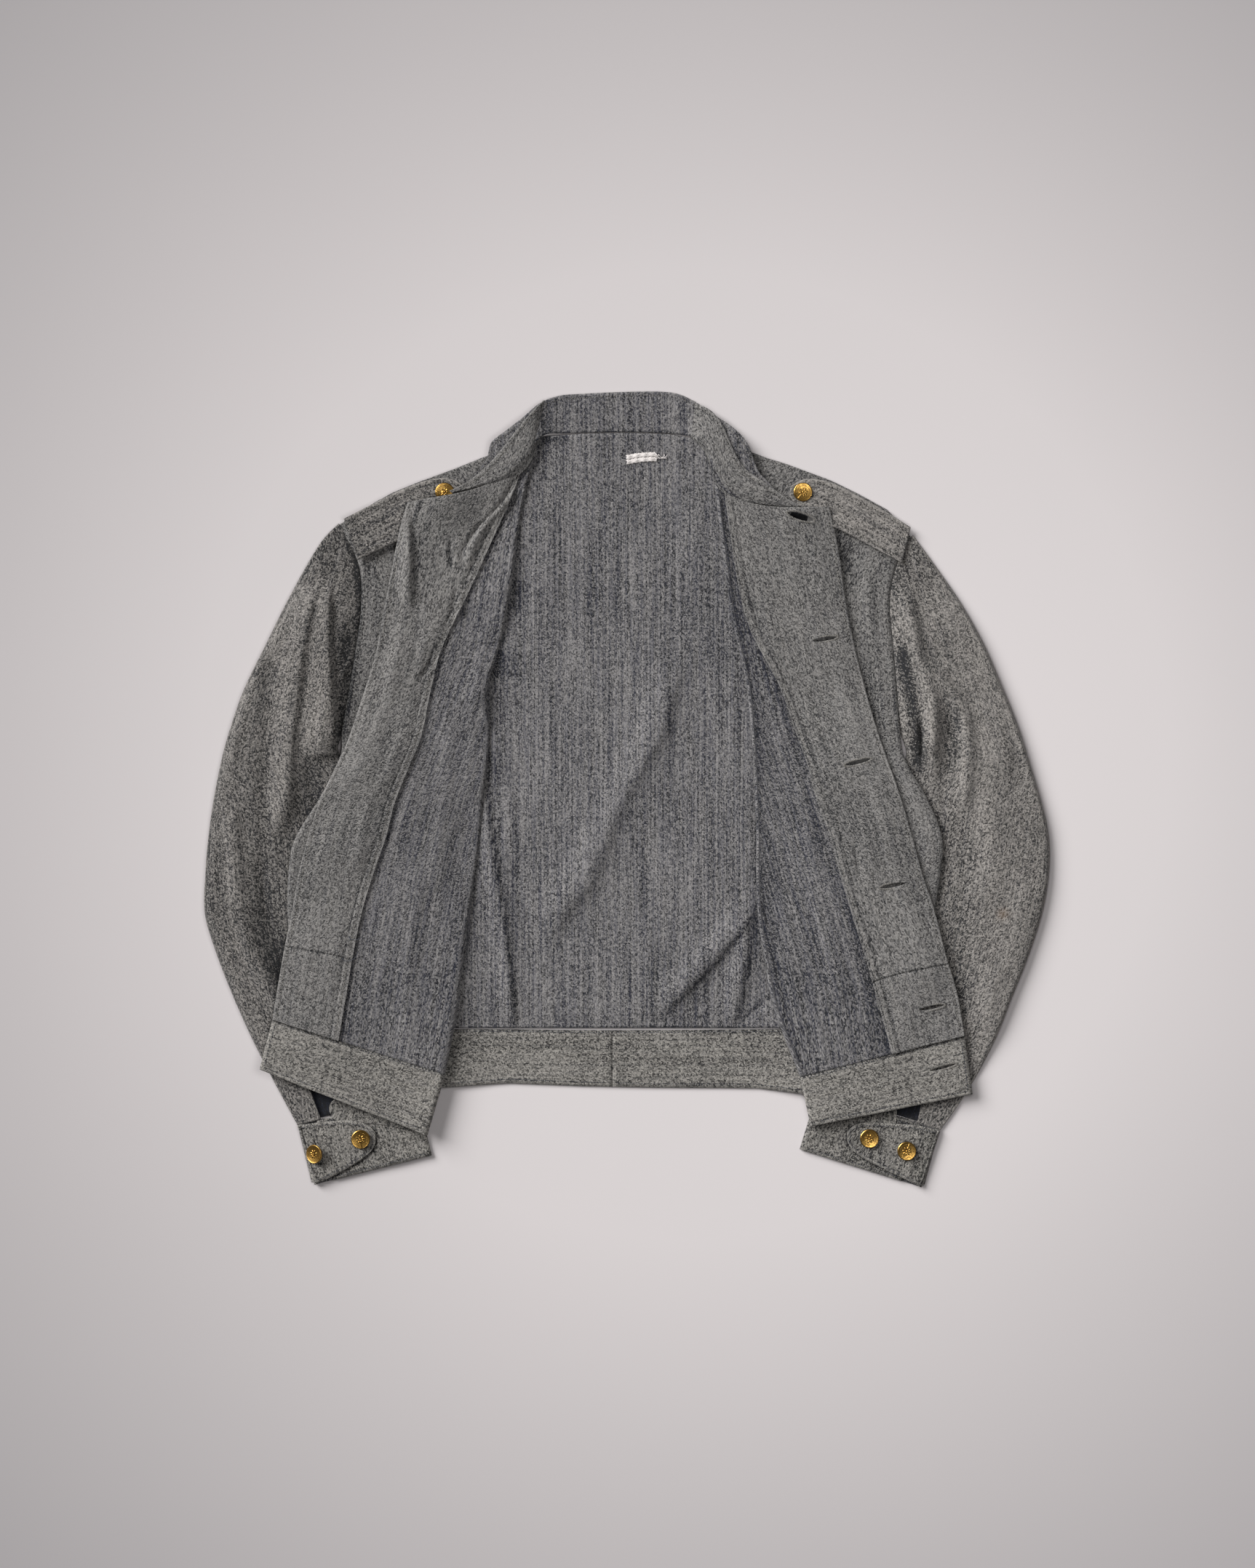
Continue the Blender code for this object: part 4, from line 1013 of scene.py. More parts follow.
def cloth_sheet(name, points, thick, upper, lower, uv, edge, face_up, tone_and_shade=0.0):
    """A sheet through a grid of points in its middle plane. face_up is the row and column where the side with
    the upper finish looks up. The last argument says how much paler or darker each point is drawn: the
    cloth's own tone, and painted shade and painted highlight."""
    rows, columns = points.shape[:2]
    number = np.arange(rows * columns).reshape(rows, columns)
    corners = [number[:-1, :-1], number[:-1, 1:], number[1:, 1:], number[1:, :-1]]
    quads = np.stack(corners, axis=-1).reshape(-1, 4)
    at_row, at_column = face_up
    here = points[at_row, at_column]
    normal = np.cross(points[at_row, at_column + 1] - here, points[at_row + 1, at_column + 1] - here)
    if normal[2] < 0:
        quads = quads[:, ::-1]
    mesh = bpy.data.meshes.new(name)
    mesh.from_pydata((points.reshape(-1, 3) * MILLIMETRE).tolist(), [], quads.tolist())
    layer = mesh.uv_layers.new(name="cloth")
    layer.data.foreach_set("uv", uv.reshape(-1, 2)[quads.reshape(-1)].reshape(-1) * MILLIMETRE)
    note_on_points(mesh, "edge", edge)
    note_on_points(mesh, "tone_and_shade", np.broadcast_to(tone_and_shade, edge.shape))
    mesh.materials.append(upper)
    mesh.materials.append(lower)
    mesh.shade_smooth()
    piece = put_in_scene(name, mesh)
    wall = piece.modifiers.new("wall", "SOLIDIFY")
    wall.thickness = thick * MILLIMETRE
    wall.offset = 0.0
    wall.material_offset = 1
    apply_all(piece)
    return piece


def steps_along(points):
    """Distance along each row of a grid of points, from its first column."""
    runs = np.linalg.norm(np.diff(points, axis=1), axis=2)
    return np.concatenate([np.zeros((len(points), 1)), np.cumsum(runs, axis=1)], axis=1)


def steps_down(points):
    """Distance down each column of a grid of points, from its first row."""
    return steps_along(points.transpose(1, 0, 2)).T


def lay_sheet(points):
    """Measure how long a laid sheet is down its middle plane; nothing uses the length."""
    length = steps_down(points)[-1].max()


def border_distance(points, *borders):
    """Distance to the nearest of the named borders of a grid."""
    across = steps_along(points)
    down = steps_down(points)
    distances = {"left": across, "right": across[:, -1:] - across, "top": down, "bottom": down[-1:] - down}
    return np.minimum.reduce([np.full(across.shape, FAR_INSIDE)] + [distances[border] for border in borders])


def seam_shade(distance):
    """Darkening in the crease of a seam."""
    return SEAM_TONE * bell(distance, SEAM_WIDTH)


# Fronts
def under_points(rows, share, levels, side, thick):
    """Places of a front's under layer, from its side seam to the fold."""
    x, y = between(rows, share)
    fade = smooth(1.0 - levels / SHOULDER_BOW_ROWS)[:, None]
    y = y + np.interp(share, SHOULDER_BOW["share"], SHOULDER_BOW[side]) * fade
    z = LAYER + thick / 2 + ground(x, y) + relief(BODY_FOLDS, x, y)
    return x, y, z


def turned_points(rows, share, levels, side, thick):
    """Places of a front's turned layer, from the fold to the front edge."""
    x, y = between(rows, share, 2, 4)
    fade = smooth(1.0 - levels / NECKLINE_ROWS)[:, None]
    y = y + NECKLINE_BOW[side] * fade * np.sin(np.pi * share ** 0.7)
    from_fold = share * distance_between(rows, 2, 4)
    z = 2 * LAYER + thick / 2 + ground(x, y) + relief(BODY_FOLDS, x, y)
    z = z + FOLD_PUFF * np.exp(-from_fold / FOLD_REACH)
    lift = np.interp(levels, FOLD_LIFTS["level"], FOLD_LIFTS[side])[:, None]
    z = z + lift * bell(from_fold, TURN_LIFT_REACH)
    if side == "right":
        button_x, button_y = BUTTON_ROWS[0][1:3]
        away = np.hypot(x - button_x, y - button_y + 5.0)
        z = z + BUTTON_RISE * smooth(share / 0.7)
        z = z + SHOULDER_BUTTON_BUMP * smooth(1.0 - away / SHOULDER_BUTTON_BUMP_RADIUS)
    else:
        hole_x, hole_y = BUTTONHOLE_ROWS[0][:2]
        away = np.hypot(x - hole_x, y - hole_y)
        z = z + STRAP_RISE * smooth((y - 150.0) / 40.0)
        z = z + TOP_BUTTONHOLE_LIFT * smooth(1.0 - away / TOP_BUTTONHOLE_REACH)
        z = z - FLAP_DROP * smooth((np.abs(x) - np.abs(column(rows, 0))) / FLAP_DROP_REACH)
    return x, y, z


def front_grid(side, rows, levels, thick, columns):
    """Points of a front from its side seam, round the fold, to the front edge, with what the scene adds."""
    turn = math.copysign(1.0, rows[0, 2])
    fold_y, fold_low = under_points(rows, np.array([[1.0]]), levels, side, thick)[1:]
    fold_high = turned_points(rows, np.array([[0.0]]), levels, side, thick)[2]
    radius = (fold_high - fold_low) / 2
    inset = radius / np.abs(column(rows, 2) - column(rows, 0))
    under_share = (1.0 - inset) * shares(columns["under"] + 1)
    x, y, z = under_points(rows, under_share, levels, side, thick)
    border = np.array(FRONT_ROWS[side])
    border_x = np.interp(-y, -border[:, 5], np.abs(border[:, 4]))
    uncovered = smooth((np.abs(x) - border_x - 1.0) / 5.0)
    z = z + relief(UNDER_FOLDS[side], x, y) * uncovered * smooth(under_share * 9.0)
    angle = np.pi * np.arange(1, columns["turn"])[None, :] / columns["turn"]
    arc_x = column(rows, 2) + turn * radius * (1.0 - np.sin(angle))
    arc_z = fold_low + radius * (1.0 - np.cos(angle))
    first = radius / distance_between(rows, 2, 4)
    hem = column(rows, 6)
    share = np.concatenate([
        first + (hem - first) * shares(columns["hidden"] + 1)[:, :-1],
        hem + (1.0 - hem) * shares(columns["facing"] + 1) ** 1.35,
    ], axis=1)
    top_x, top_y, top_z = turned_points(rows, share, levels, side, thick)
    top_z = top_z + relief(TURNED_FOLDS[side], top_x, top_y) * smooth(share * 8.0)
    top_z = top_z + uneven("turned", top_x, top_y) * smooth(share * 5.0)
    top_z = top_z + 0.7 * smooth((share - 0.8) * 5.0) * np.sin(levels[:, None] * 2.9 + 0.6)
    return np.concatenate([
        as_grid(x, y, z), as_grid(arc_x, fold_y, arc_z), as_grid(top_x, top_y, top_z)], axis=1)


def dress_front(side):
    """One front, folded back, and its facing. Returns the facing's grid."""
    levels = np.linspace(0.0, LAST_LEVEL, FRONT_STEPS)
    grid = front_grid(side, rows_at(FRONT_ROWS[side], levels), levels, CLOTH, FRONT_COLUMNS)
    x, y = grid[..., 0], grid[..., 1]
    across = steps_along(grid)
    from_edge = across[:, -1:] - across
    turn_column = FRONT_COLUMNS["under"] + FRONT_COLUMNS["turn"]
    hem_column = grid.shape[1] - FRONT_COLUMNS["facing"] - 1
    turned = np.arange(grid.shape[1])[None, :] >= turn_column
    uv = as_grid(np.where(turned, WEAVE_START["turned"] - from_edge, across), -LEVEL_LENGTH * levels[:, None])
    edge = np.where(from_edge > 40.0, FAR_INSIDE, from_edge)
    # Painted shade in the turned cloth's fold troughs, a little painted light on their crests, and painted
    # shade beside the facing's hem
    fold_and_hem_shading = np.clip(0.03 * relief(TURNED_FOLDS[side], x, y), -0.08, 0.06)
    past_hem = np.maximum(column(across, hem_column) - across, 0.0)
    fold_and_hem_shading = fold_and_hem_shading + HEM_SHADE_TONE[side] * bell(past_hem, 9.0)
    tone_and_shade = np.where(turned, TURNED_TONE[side] + fold_and_hem_shading, relief(SHADES[side + "_under"], x, y))
    # Painted shade on the roll of the fold, which would catch the light
    from_turn = np.abs(across - column(across, turn_column))
    tone_and_shade = tone_and_shade + FOLD_TURN_SHADE[side] * smooth(1.0 - from_turn / 6.0)
    front = cloth_sheet(side + "_front_cloth", grid, CLOTH, OUTSIDE, INSIDE, uv, edge, (60, 5), tone_and_shade)
    keep_piece(front, "cloth_outside", side + "_front")
    lay_sheet(grid)
    return dress_facing(side, levels, grid[:, hem_column:])


def dress_facing(side, levels, on_top):
    """The two parts of a facing, on the outer strip of a turned front, with a slanting join between them."""
    at_hem, at_edge = JOIN_SLANT[side]
    near_join = smooth(1.0 - np.abs(levels - FACING_JOIN_ROW) / (LAST_LEVEL - FACING_JOIN_ROW))
    facing = on_top.copy()
    for number in range(on_top.shape[1]):
        slant = at_hem + (at_edge - at_hem) * number / FRONT_COLUMNS["facing"]
        for axis in range(3):
            facing[:, number, axis] = np.interp(levels + slant * near_join, levels, on_top[:, number, axis])
    facing[..., 2] += CLOTH + LAID_GAP
    x, y = facing[..., 0], facing[..., 1]
    from_hem = steps_along(facing)
    from_edge = from_hem[:, -1:] - from_hem
    fold = relief(FACING_FOLDS[side], x, y) * smooth(from_edge / 4.0 + 0.3)
    wave = 0.7 + 0.3 * np.sin(levels * 2.3 + 0.8)[:, None]
    room = FACING_LIFT[side] * wave * smooth(from_edge / 22.0) * (0.15 + 0.85 * smooth(from_hem / 18.0))
    facing[..., 2] += np.maximum(room + fold, 0.0) + HEM_STEP * smooth((HEM_WIDTH + 1.0 - from_hem) / 1.6)
    uv = as_grid(WEAVE_START["facing"] - from_edge, -LEVEL_LENGTH * levels[:, None])
    edge = np.minimum(from_edge, from_hem + FACING_EDGE_WEAR[side])
    join = int(round(FACING_JOIN_ROW / LAST_LEVEL * (len(levels) - 1)))
    far = steps_down(facing)
    # Painted shade in the join's seam and in the groove beside the hem, the hem strip a little paler, painted
    # shade in the folds' troughs with a little painted light on their crests, and the table's painted shade
    wear_and_shading = 0.6 * seam_shade(far - far[join]) + 0.7 * seam_shade(from_hem - HEM_WIDTH - 1.6)
    wear_and_shading = wear_and_shading + 0.06 * smooth((HEM_WIDTH - from_hem) / 2.0) + np.clip(0.035 * fold, -0.14, 0.07)
    wear_and_shading = wear_and_shading + relief(SHADES[side + "_facing"], x, y)
    for name, part in (("_facing", slice(0, join + 1)), ("_facing_lower", slice(join, None))):
        points = facing[part].copy()
        if name == "_facing_lower":
            points[0] = points[0] + (points[1] - points[0]) * 0.04
        piece = cloth_sheet(
            side + name + "_cloth", points, CLOTH, OUTSIDE, INSIDE, uv[part], edge[part], (1, 3), wear_and_shading[part],
        )
        keep_piece(piece, "cloth_outside", side + name)
        lay_sheet(points)
    return facing


def dress_front_band(side):
    """The waistband of a front, folded back with it. Returns the grid of its turned layer."""
    part = np.linspace(0.0, 1.0, BAND_STEPS)
    rows = rows_at(BAND_ROWS[side], part)
    rows[:, [1, 3, 5]] += (SEAM_GAP * (1.0 - part))[:, None]
    grid = front_grid(side, rows, np.full(len(part), PAST_ALL_LEVELS), DOUBLE_CLOTH, BAND_COLUMNS)
    down = steps_down(grid)
    uv = as_grid(down + WEAVE_START["band"], steps_along(grid))
    edge = border_distance(grid, "right", "bottom")
    band = cloth_sheet(
        side + "_waistband_cloth", grid, DOUBLE_CLOTH, BAND, BAND, uv, edge, (5, 5), seam_shade(down) + 0.06,
    )
    keep_piece(band, "cloth_band", side + "_waistband")
    lay_sheet(grid)
    return grid[:, BAND_COLUMNS["under"] + BAND_COLUMNS["turn"]:]


# Back
def dress_back():
    """The back, with its inner side up. Returns its grid."""
    levels = np.linspace(0.0, LAST_LEVEL, BACK_STEPS)
    right = rows_at(FRONT_ROWS["right"], levels)
    left = rows_at(FRONT_ROWS["left"], levels)
    share = shares(BACK_COLUMNS)
    side_seams = np.hstack([right[:, :2], left[:, :2]])
    x, y = between(side_seams, share)
    top_x, straight_y = between(side_seams[:1], share)
    top_y = np.interp(top_x, *zip(*BACK_TOP))
    y = y + (top_y - straight_y) * (1.0 - levels / LAST_LEVEL)[:, None]
    shown = smooth((x - column(right, 2) + 6.0) / 14.0) * smooth((column(left, 2) + 6.0 - x) / 14.0)
    low_folds = np.maximum(relief(BACK_FOLDS, x, y) + 1.2 + uneven("back", x, y), 0.0)
    z = CLOTH / 2 + ground(x, y) + relief(BODY_FOLDS, x, y)
    z = z + low_folds * shown * (0.3 + 0.7 * smooth((levels[-1] - levels)[:, None] / 0.5))
    points = as_grid(x, y, z)
    from_seam = steps_down(points)[-1:] - steps_down(points)
    points[..., 2] += SEAM_EASE * smooth(1.0 - from_seam / 5.0)
    # Painted shade in the waist seam's crease, and the back's table of painted shade
    tone_and_shade = seam_shade(from_seam) + relief(SHADES["back"], x, y)
    edge = np.full(x.shape, FAR_INSIDE)
    piece = cloth_sheet("back_cloth", points, CLOTH, INSIDE, OUTSIDE, as_grid(x, y), edge, (60, 60), tone_and_shade)
    keep_piece(piece, "cloth_inside", "back")
    lay_sheet(points)
    return points


def dress_back_band():
    """The two halves of the waistband at the back. Returns the lines that are stitched."""
    seam_lines = []
    band_x, band_seam_y, band_lower_y = zip(*BACK_BAND_ROWS)
    for side, start_x, end_x in (
        ("right", band_x[0], CENTRE_BACK_X - 0.02),
        ("left", CENTRE_BACK_X + 0.02, band_x[-1]),
    ):
        x = np.linspace(start_x, end_x, 70)[None, :]
        part = np.linspace(0.0, 1.0, BAND_STEPS)[:, None]
        seam_y = np.interp(x, band_x, band_seam_y) + SEAM_GAP
        y = seam_y + (np.interp(x, band_x, band_lower_y) - seam_y) * part
        x = x + 0.0 * part
        z = DOUBLE_CLOTH / 2 + ground(x, y) + uneven("band", x, y)
        points = as_grid(x, y, z)
        edge = border_distance(points, "bottom")
        tone_and_shade = seam_shade(steps_down(points)) + 0.15 * seam_shade(np.abs(x - CENTRE_BACK_X)) - 0.02
        band = cloth_sheet(
            "back_waistband_" + side + "_cloth", points, DOUBLE_CLOTH, BAND, BAND, as_grid(y, x), edge,
            (3, 3), tone_and_shade,
        )
        keep_piece(band, "cloth_band", "back_waistband_" + side)
        lay_sheet(points)
        seam_lines.append(inset_line(points, "bottom"))
        seam_lines.append(inset_line(points, "top", SEAM_STITCH_INSET))
    return seam_lines


# Sleeves
def dress_sleeve(side):
    """The top and the under sheet of a sleeve, joined round an open vent above the cuff."""
    last = len(SLEEVE_ROWS[side]) - 1.0
    levels = np.linspace(0.0, last, SLEEVE_STEPS)
    rows = rows_at(SLEEVE_ROWS[side], levels)
    share = (0.5 - 0.5 * np.cos(np.linspace(0.0, np.pi, SLEEVE_COLUMNS)))[None, :]
    x, y = between(rows, share)
    near_cuff = smooth((last - levels) / 3.0)[:, None]
    near_shoulder = smooth((levels - 0.5) / 2.5)[:, None]
    hollow = SLEEVE_HOLLOW * (0.25 + 0.75 * near_cuff) * (0.3 + 0.7 * near_shoulder)
    arch = (1.0 - np.abs(2.0 * share - 1.0) ** 5) ** 0.4
    front = np.array(FRONT_ROWS[side])
    cover = np.interp(-y, -front[:, 1], np.abs(front[:, 0]))
    if side == "left":
        cover = np.maximum(cover, np.interp(-y, -front[:, 5], np.abs(front[:, 4])))
    cover = np.where(y > ARMHOLE_Y, 0.0, cover)
    open_air = smooth((np.abs(x) - cover - 3.0) / 30.0)
    width = distance_between(rows)
    from_outer = share * width
    from_inner = (1.0 - share) * width
    round_edge = 1.0 - np.minimum(from_outer / SLEEVE_ROUND_EDGE[side], 1.0)
    soft = np.sqrt(1.0 - round_edge ** 2) * smooth(from_inner / 18.0 + 0.1)
    full = SLEEVE_FULLNESS * near_cuff * near_shoulder * soft * open_air
    fold = relief(SLEEVE_FOLDS[side], x, y) * smooth(from_outer / 10.0) * smooth(from_inner / 6.0) * open_air
    waves = uneven(side + "_sleeve", x, y) * soft * open_air
    z = CLOTH * 1.5 + LAID_GAP + hollow * arch + np.maximum(full + fold + waves, 0.0)
    points = as_grid(x, y, z)
    inland_z = np.array([[np.interp(SLEEVE_EDGE_STRIP, *row)] for row in zip(from_outer, z)])
    round_the_edge = np.where(from_outer < SLEEVE_EDGE_STRIP, np.maximum(inland_z - z, 0.0), 0.0)
    across = (share - 0.5) * width - round_the_edge + WEAVE_START["sleeve"]
    uv = as_grid(across, -column(steps_down(points), 32))
    edge = np.broadcast_to(np.minimum(from_outer + 1.2, FAR_INSIDE), x.shape)
    # Painted shade in the folds' troughs with a little painted light on their crests, painted shade where the
    # sleeve runs under the body, the sleeve's own tone, darker towards the shoulder, the table's painted
    # shade, and a painted highlight along the outer edge
    tone_and_shade = np.clip(fold * 0.05, -0.22, 0.03) - 0.10 * (1.0 - open_air) + SLEEVE_TONE[side]
    tone_and_shade = tone_and_shade - 0.10 * smooth((y - 150.0) / 50.0) + relief(SHADES[side + "_sleeve"], x, y)
    tone_and_shade = tone_and_shade + SLEEVE_EDGE_HIGHLIGHT[side] * smooth(1.0 - from_outer / 5.0)
    top = cloth_sheet(side + "_top_sleeve_cloth", points, CLOTH, SLEEVE, INSIDE, uv, edge, (80, 20), tone_and_shade)
    cut_through(top, VENT_CORNERS[side], 0.5, 14.0)
    keep_piece(top, "cloth_outside", side + "_top_sleeve")
    if side == "left":
        places = np.array([tuple(vert.co)[:2] for vert in top.data.vertices]) / MILLIMETRE - STAIN_PLACE
        note_on_points(top.data, "stain", STAIN_STRENGTH * bell(np.hypot(*places.T), STAIN_RADIUS))
    stride = slice(None, None, UNDER_SLEEVE_STRIDE)
    low = points[stride, stride].copy()
    low[..., 2] = CLOTH / 2
    vent_x, vent_y = np.mean(VENT_CORNERS[side], axis=0)
    # Painted shade in the open vent, where the under sleeve lies deep
    vent_shade = -0.95 * np.exp(-(np.hypot(low[..., 0] - vent_x, low[..., 1] - vent_y) / 20.0) ** 4)
    under = cloth_sheet(
        side + "_under_sleeve_cloth", low, CLOTH, INSIDE, OUTSIDE, uv[stride, stride], edge[stride, stride],
        (20, 5), vent_shade,
    )
    keep_piece(under, "cloth_outside", side + "_under_sleeve")
    lay_sheet(points)
    lay_sheet(low)


def cut_through(piece, corners, low, high):
    """Cut an upright prism out of a piece."""
    outline = bmesh.new()
    verts = [outline.verts.new((x * MILLIMETRE, y * MILLIMETRE, low * MILLIMETRE)) for x, y in corners]
    face = outline.faces.new(verts)
    lifted = bmesh.ops.extrude_face_region(outline, geom=[face])
    tops = [item for item in lifted["geom"] if isinstance(item, bmesh.types.BMVert)]
    bmesh.ops.translate(outline, verts=tops, vec=(0.0, 0.0, (high - low) * MILLIMETRE))
    bmesh.ops.recalc_face_normals(outline, faces=outline.faces)
    mesh = bpy.data.meshes.new("cutter")
    outline.to_mesh(mesh)
    outline.free()
    cutter = put_in_scene("cutter", mesh)
    cut = piece.modifiers.new("cut", "BOOLEAN")
    cut.operation = "DIFFERENCE"
    cut.object = cutter
    apply_all(piece)
    bpy.data.objects.remove(cutter)


# Cuffs
def dress_cuff(side):
    """The cuff's band, its tab and its free end. Returns the lines that are stitched."""
    return dress_cuff_band(side) + dress_cuff_tab(side) + dress_cuff_end(side)


def dress_cuff_band(side):
    """The band from its opening over the inner fold, back below and round the outer fold up to the tab."""
    outer_seam, outer_hem, inner_hem, inner_seam = [np.array(corner) for corner in CUFF_CORNERS[side]]
    down = np.linspace(0.0, 1.0, 18)[:, None]
    outer = outer_seam + (outer_hem - outer_seam) * down
    inner = inner_seam + (inner_hem - inner_seam) * down
    width = np.linalg.norm(inner - outer, axis=1).mean()
    inner_radius = (CUFF_UPPER_Z - CUFF_UNDER_Z) / 2
    outer_radius = (CUFF_TAB_Z - CUFF_UNDER_Z) / 2
    first = outer_radius / width
    last = 1.0 - inner_radius / width
    turn = np.pi * np.arange(1, 8) / 8
    share = np.concatenate([
        np.linspace(CUFF_OPEN_SHARE, last, CUFF_UPPER_COLUMNS), last + inner_radius / width * np.sin(turn),
        np.linspace(last, first, CUFF_UNDER_COLUMNS), first - outer_radius / width * np.sin(turn), [first],
    ])
    z = np.concatenate([
        np.full(CUFF_UPPER_COLUMNS, CUFF_UPPER_Z), CUFF_UNDER_Z + inner_radius * (1.0 + np.cos(turn)),
        np.full(CUFF_UNDER_COLUMNS, CUFF_UNDER_Z), CUFF_UNDER_Z + outer_radius * (1.0 - np.cos(turn)),
        [CUFF_TAB_Z],
    ])
    x, y = between(np.hstack([outer, inner]), share)
    upper = (np.arange(len(share)) < CUFF_UPPER_COLUMNS).astype(float)
    points = as_grid(x, y, z + upper * uneven("cuff", x, y) * smooth((share - 0.5) * 4.0))
    uv = as_grid(steps_along(points) + WEAVE_START["cuff"], -steps_down(points))
    edge = border_distance(points, "left", "top", "bottom")
    tab_rows = np.array(CUFF_TAB_ROWS[side])
    outline = [tuple(row[:2]) for row in tab_rows] + [tuple(row[2:]) for row in tab_rows[::-1]]
    # Painted shadow of the tab's edge on the band, with the cuff's own tone
    tone_and_shade = CUFF_TONE[side] + relief([(outline, 1.5, 1.5, -0.55)], x, y)
    cuff = cloth_sheet(side + "_cuff_cloth", points, CUFF_CLOTH, BAND, INSIDE, uv, edge, (5, 10), tone_and_shade)
    keep_piece(cuff, "cloth_band", side + "_cuff")
    lay_sheet(points)
    upper_part = points[:, :CUFF_UPPER_COLUMNS]
    return [inset_line(upper_part, border, CUFF_STITCH_INSET) for border in ("top", "bottom", "left")]


def dress_cuff_tab(side):
    """The rounded tab, which dips at its root to meet the band's outer fold."""
    x, y = strip(CUFF_TAB_ROWS[side], 50, 20)[1:]
    z = CUFF_TAB_Z + uneven("cuff_tab", x, y)
    root = smooth(1.0 - np.linspace(0.0, 5.0, 50) / 0.28)[:, None]
    points = as_grid(x + math.copysign(TAB_ROOT_REACH, x[0, 0]) * root, y, z - TAB_ROOT_DROP * root ** 2)
    uv = as_grid(steps_down(points) + WEAVE_START["cuff_tab"], -steps_along(points))
    edge = border_distance(points, "left", "right", "bottom")
    tab = cloth_sheet(
        side + "_cuff_tab_cloth", points, CUFF_CLOTH, BAND, BAND, uv, edge, (5, 5), CUFF_TONE[side],
    )
    keep_piece(tab, "cloth_band", side + "_cuff_tab")
    lay_sheet(points)
    return [inset_line(points, border, CUFF_STITCH_INSET) for border in ("left", "right", "bottom")]


def dress_cuff_end(side):
    """The band's free end, which rises beside the vent and has no stitching that shows."""
    x, y = strip(CUFF_END_ROWS[side], 50, 14)[1:]
    points = as_grid(x, y, CUFF_TAB_Z - 0.8)
    uv = as_grid(steps_down(points) + WEAVE_START["cuff_end"], -steps_along(points))
    edge = border_distance(points, "left", "top")
    loose_end = cloth_sheet(
        side + "_cuff_end_cloth", points, CUFF_END_CLOTH, BAND, BAND, uv, edge, (5, 5), CUFF_TONE[side],
    )
    keep_piece(loose_end, "cloth_band")
    lay_sheet(points)
    return []


# Collar and straps
def dress_collar():
    """The strip round the neck and its upper layer on each side. Returns the lines that are stitched."""
    rows, x, y = strip(COLLAR_ROWS, 240, 26)
    points = as_grid(x, y, np.maximum(column(rows, 4), DOUBLE_CLOTH / 2) + uneven("collar", x, y))
    edge = border_distance(points, "right", "top", "bottom")
    tone_and_shade = seam_shade(steps_along(points))
    collar = cloth_sheet(
        "collar_cloth", points, DOUBLE_CLOTH, INSIDE, OUTSIDE, as_grid(x, y), edge, (120, 5), tone_and_shade,
    )
    keep_piece(collar, "cloth_band", "collar")
    lay_sheet(points)
    seam_lines = [inset_line(points, "right")]
    for side, upper_rows in COLLAR_UPPER_ROWS.items():
        rows, x, y = strip(upper_rows, 90, 22)
        edge_z = column(rows, 4)
        seam_z = np.minimum(edge_z, 7.0 + 3.0 * shares(90).T)
        z = seam_z + (edge_z - seam_z) * smooth(shares(22) * 3.0) + uneven("collar_upper", x, y)
        points = as_grid(x, y, z)
        uv = as_grid(-steps_along(points) + WEAVE_START["collar_upper"], steps_down(points))
        edge = border_distance(points, "right")
        tone_and_shade = seam_shade(steps_along(points))
        upper = cloth_sheet(
            side + "_collar_upper_cloth", points, CLOTH, OUTSIDE, OUTSIDE, uv, edge, (60, 5), tone_and_shade,
        )
        keep_piece(upper, "cloth_band")
        lay_sheet(points)
        seam_lines.append(inset_line(points, "right"))
    return seam_lines


def dress_strap(side):
    """A shoulder strap, arched a little over the shoulder. Returns the lines that are stitched."""
    x, y = strip(STRAP_ROWS[side], 70, 22)[1:]
    share = shares(22)
    level = np.linspace(0.0, 5.0, 70)[:, None]
    z = LAYER + CLOTH * 1.5 + ground(x, y) + LAID_GAP + 1.1 + uneven("strap", x, y)
    z = z + STRAP_ARCH * share ** 2 * smooth((5.0 - level) / 1.5) * smooth(0.3 + level)
    z = z + STRAP_END_LIFT[side] * smooth(1.0 - level)
    points = as_grid(x, y, z)
    uv = as_grid(-steps_along(points), steps_down(points))
    edge = border_distance(points, "left", "right", "bottom")
    tone_and_shade = STRAP_TONE[side] + 0.6 * seam_shade(steps_down(points) - 7.0)
    tone_and_shade = tone_and_shade + relief(SHADES[side + "_strap"], x, y)
    strap = cloth_sheet(
        side + "_shoulder_strap_cloth", points, STRAP_CLOTH, SLEEVE, SLEEVE, uv, edge, (5, 5), tone_and_shade,
    )
    keep_piece(strap, "cloth_outside", side + "_shoulder_strap")
    lay_sheet(points)
    return [inset_line(points, border) for border in ("left", "right", "bottom")] + [
        inset_line(points, "top", inset) for inset in STRAP_END_INSETS]


# Buttons
BUTTON_STEPS = [
    # radius, height over the seat: from the back of the shank round the rim to the middle of the face
    (1.8, 0.0), (2.0, 1.1), (6.9, 1.4), (7.9, 1.9), (8.2, 2.7), (8.0, 3.4), (7.5, 3.75), (7.0, 3.6),
    (6.8, 3.25), (6.2, 3.35), (4.2, 3.7), (2.0, 3.85),
]
PETALS = 8
PETAL_RING = 2.55
PETAL_HEIGHT = 3.78
PETAL_SIZE = (1.5, 0.72, 0.4)
HEART_HEIGHT = 3.95
HEART_SIZE = (0.95, 0.95, 0.6)
BEADS = 40
BEAD_RING = 5.6
BEAD_HEIGHT = 3.5
BEAD_RADIUS = 0.34
RIM_INNER_RADIUS = 6.9
RIM_HEIGHT = 3.75
SHANK_HEIGHT = 2.4


def on_ring(radius, angle, height):
    """A place on a ring round the button's middle, in metres."""
    return [value * MILLIMETRE for value in (radius * math.cos(angle), radius * math.sin(angle), height)]


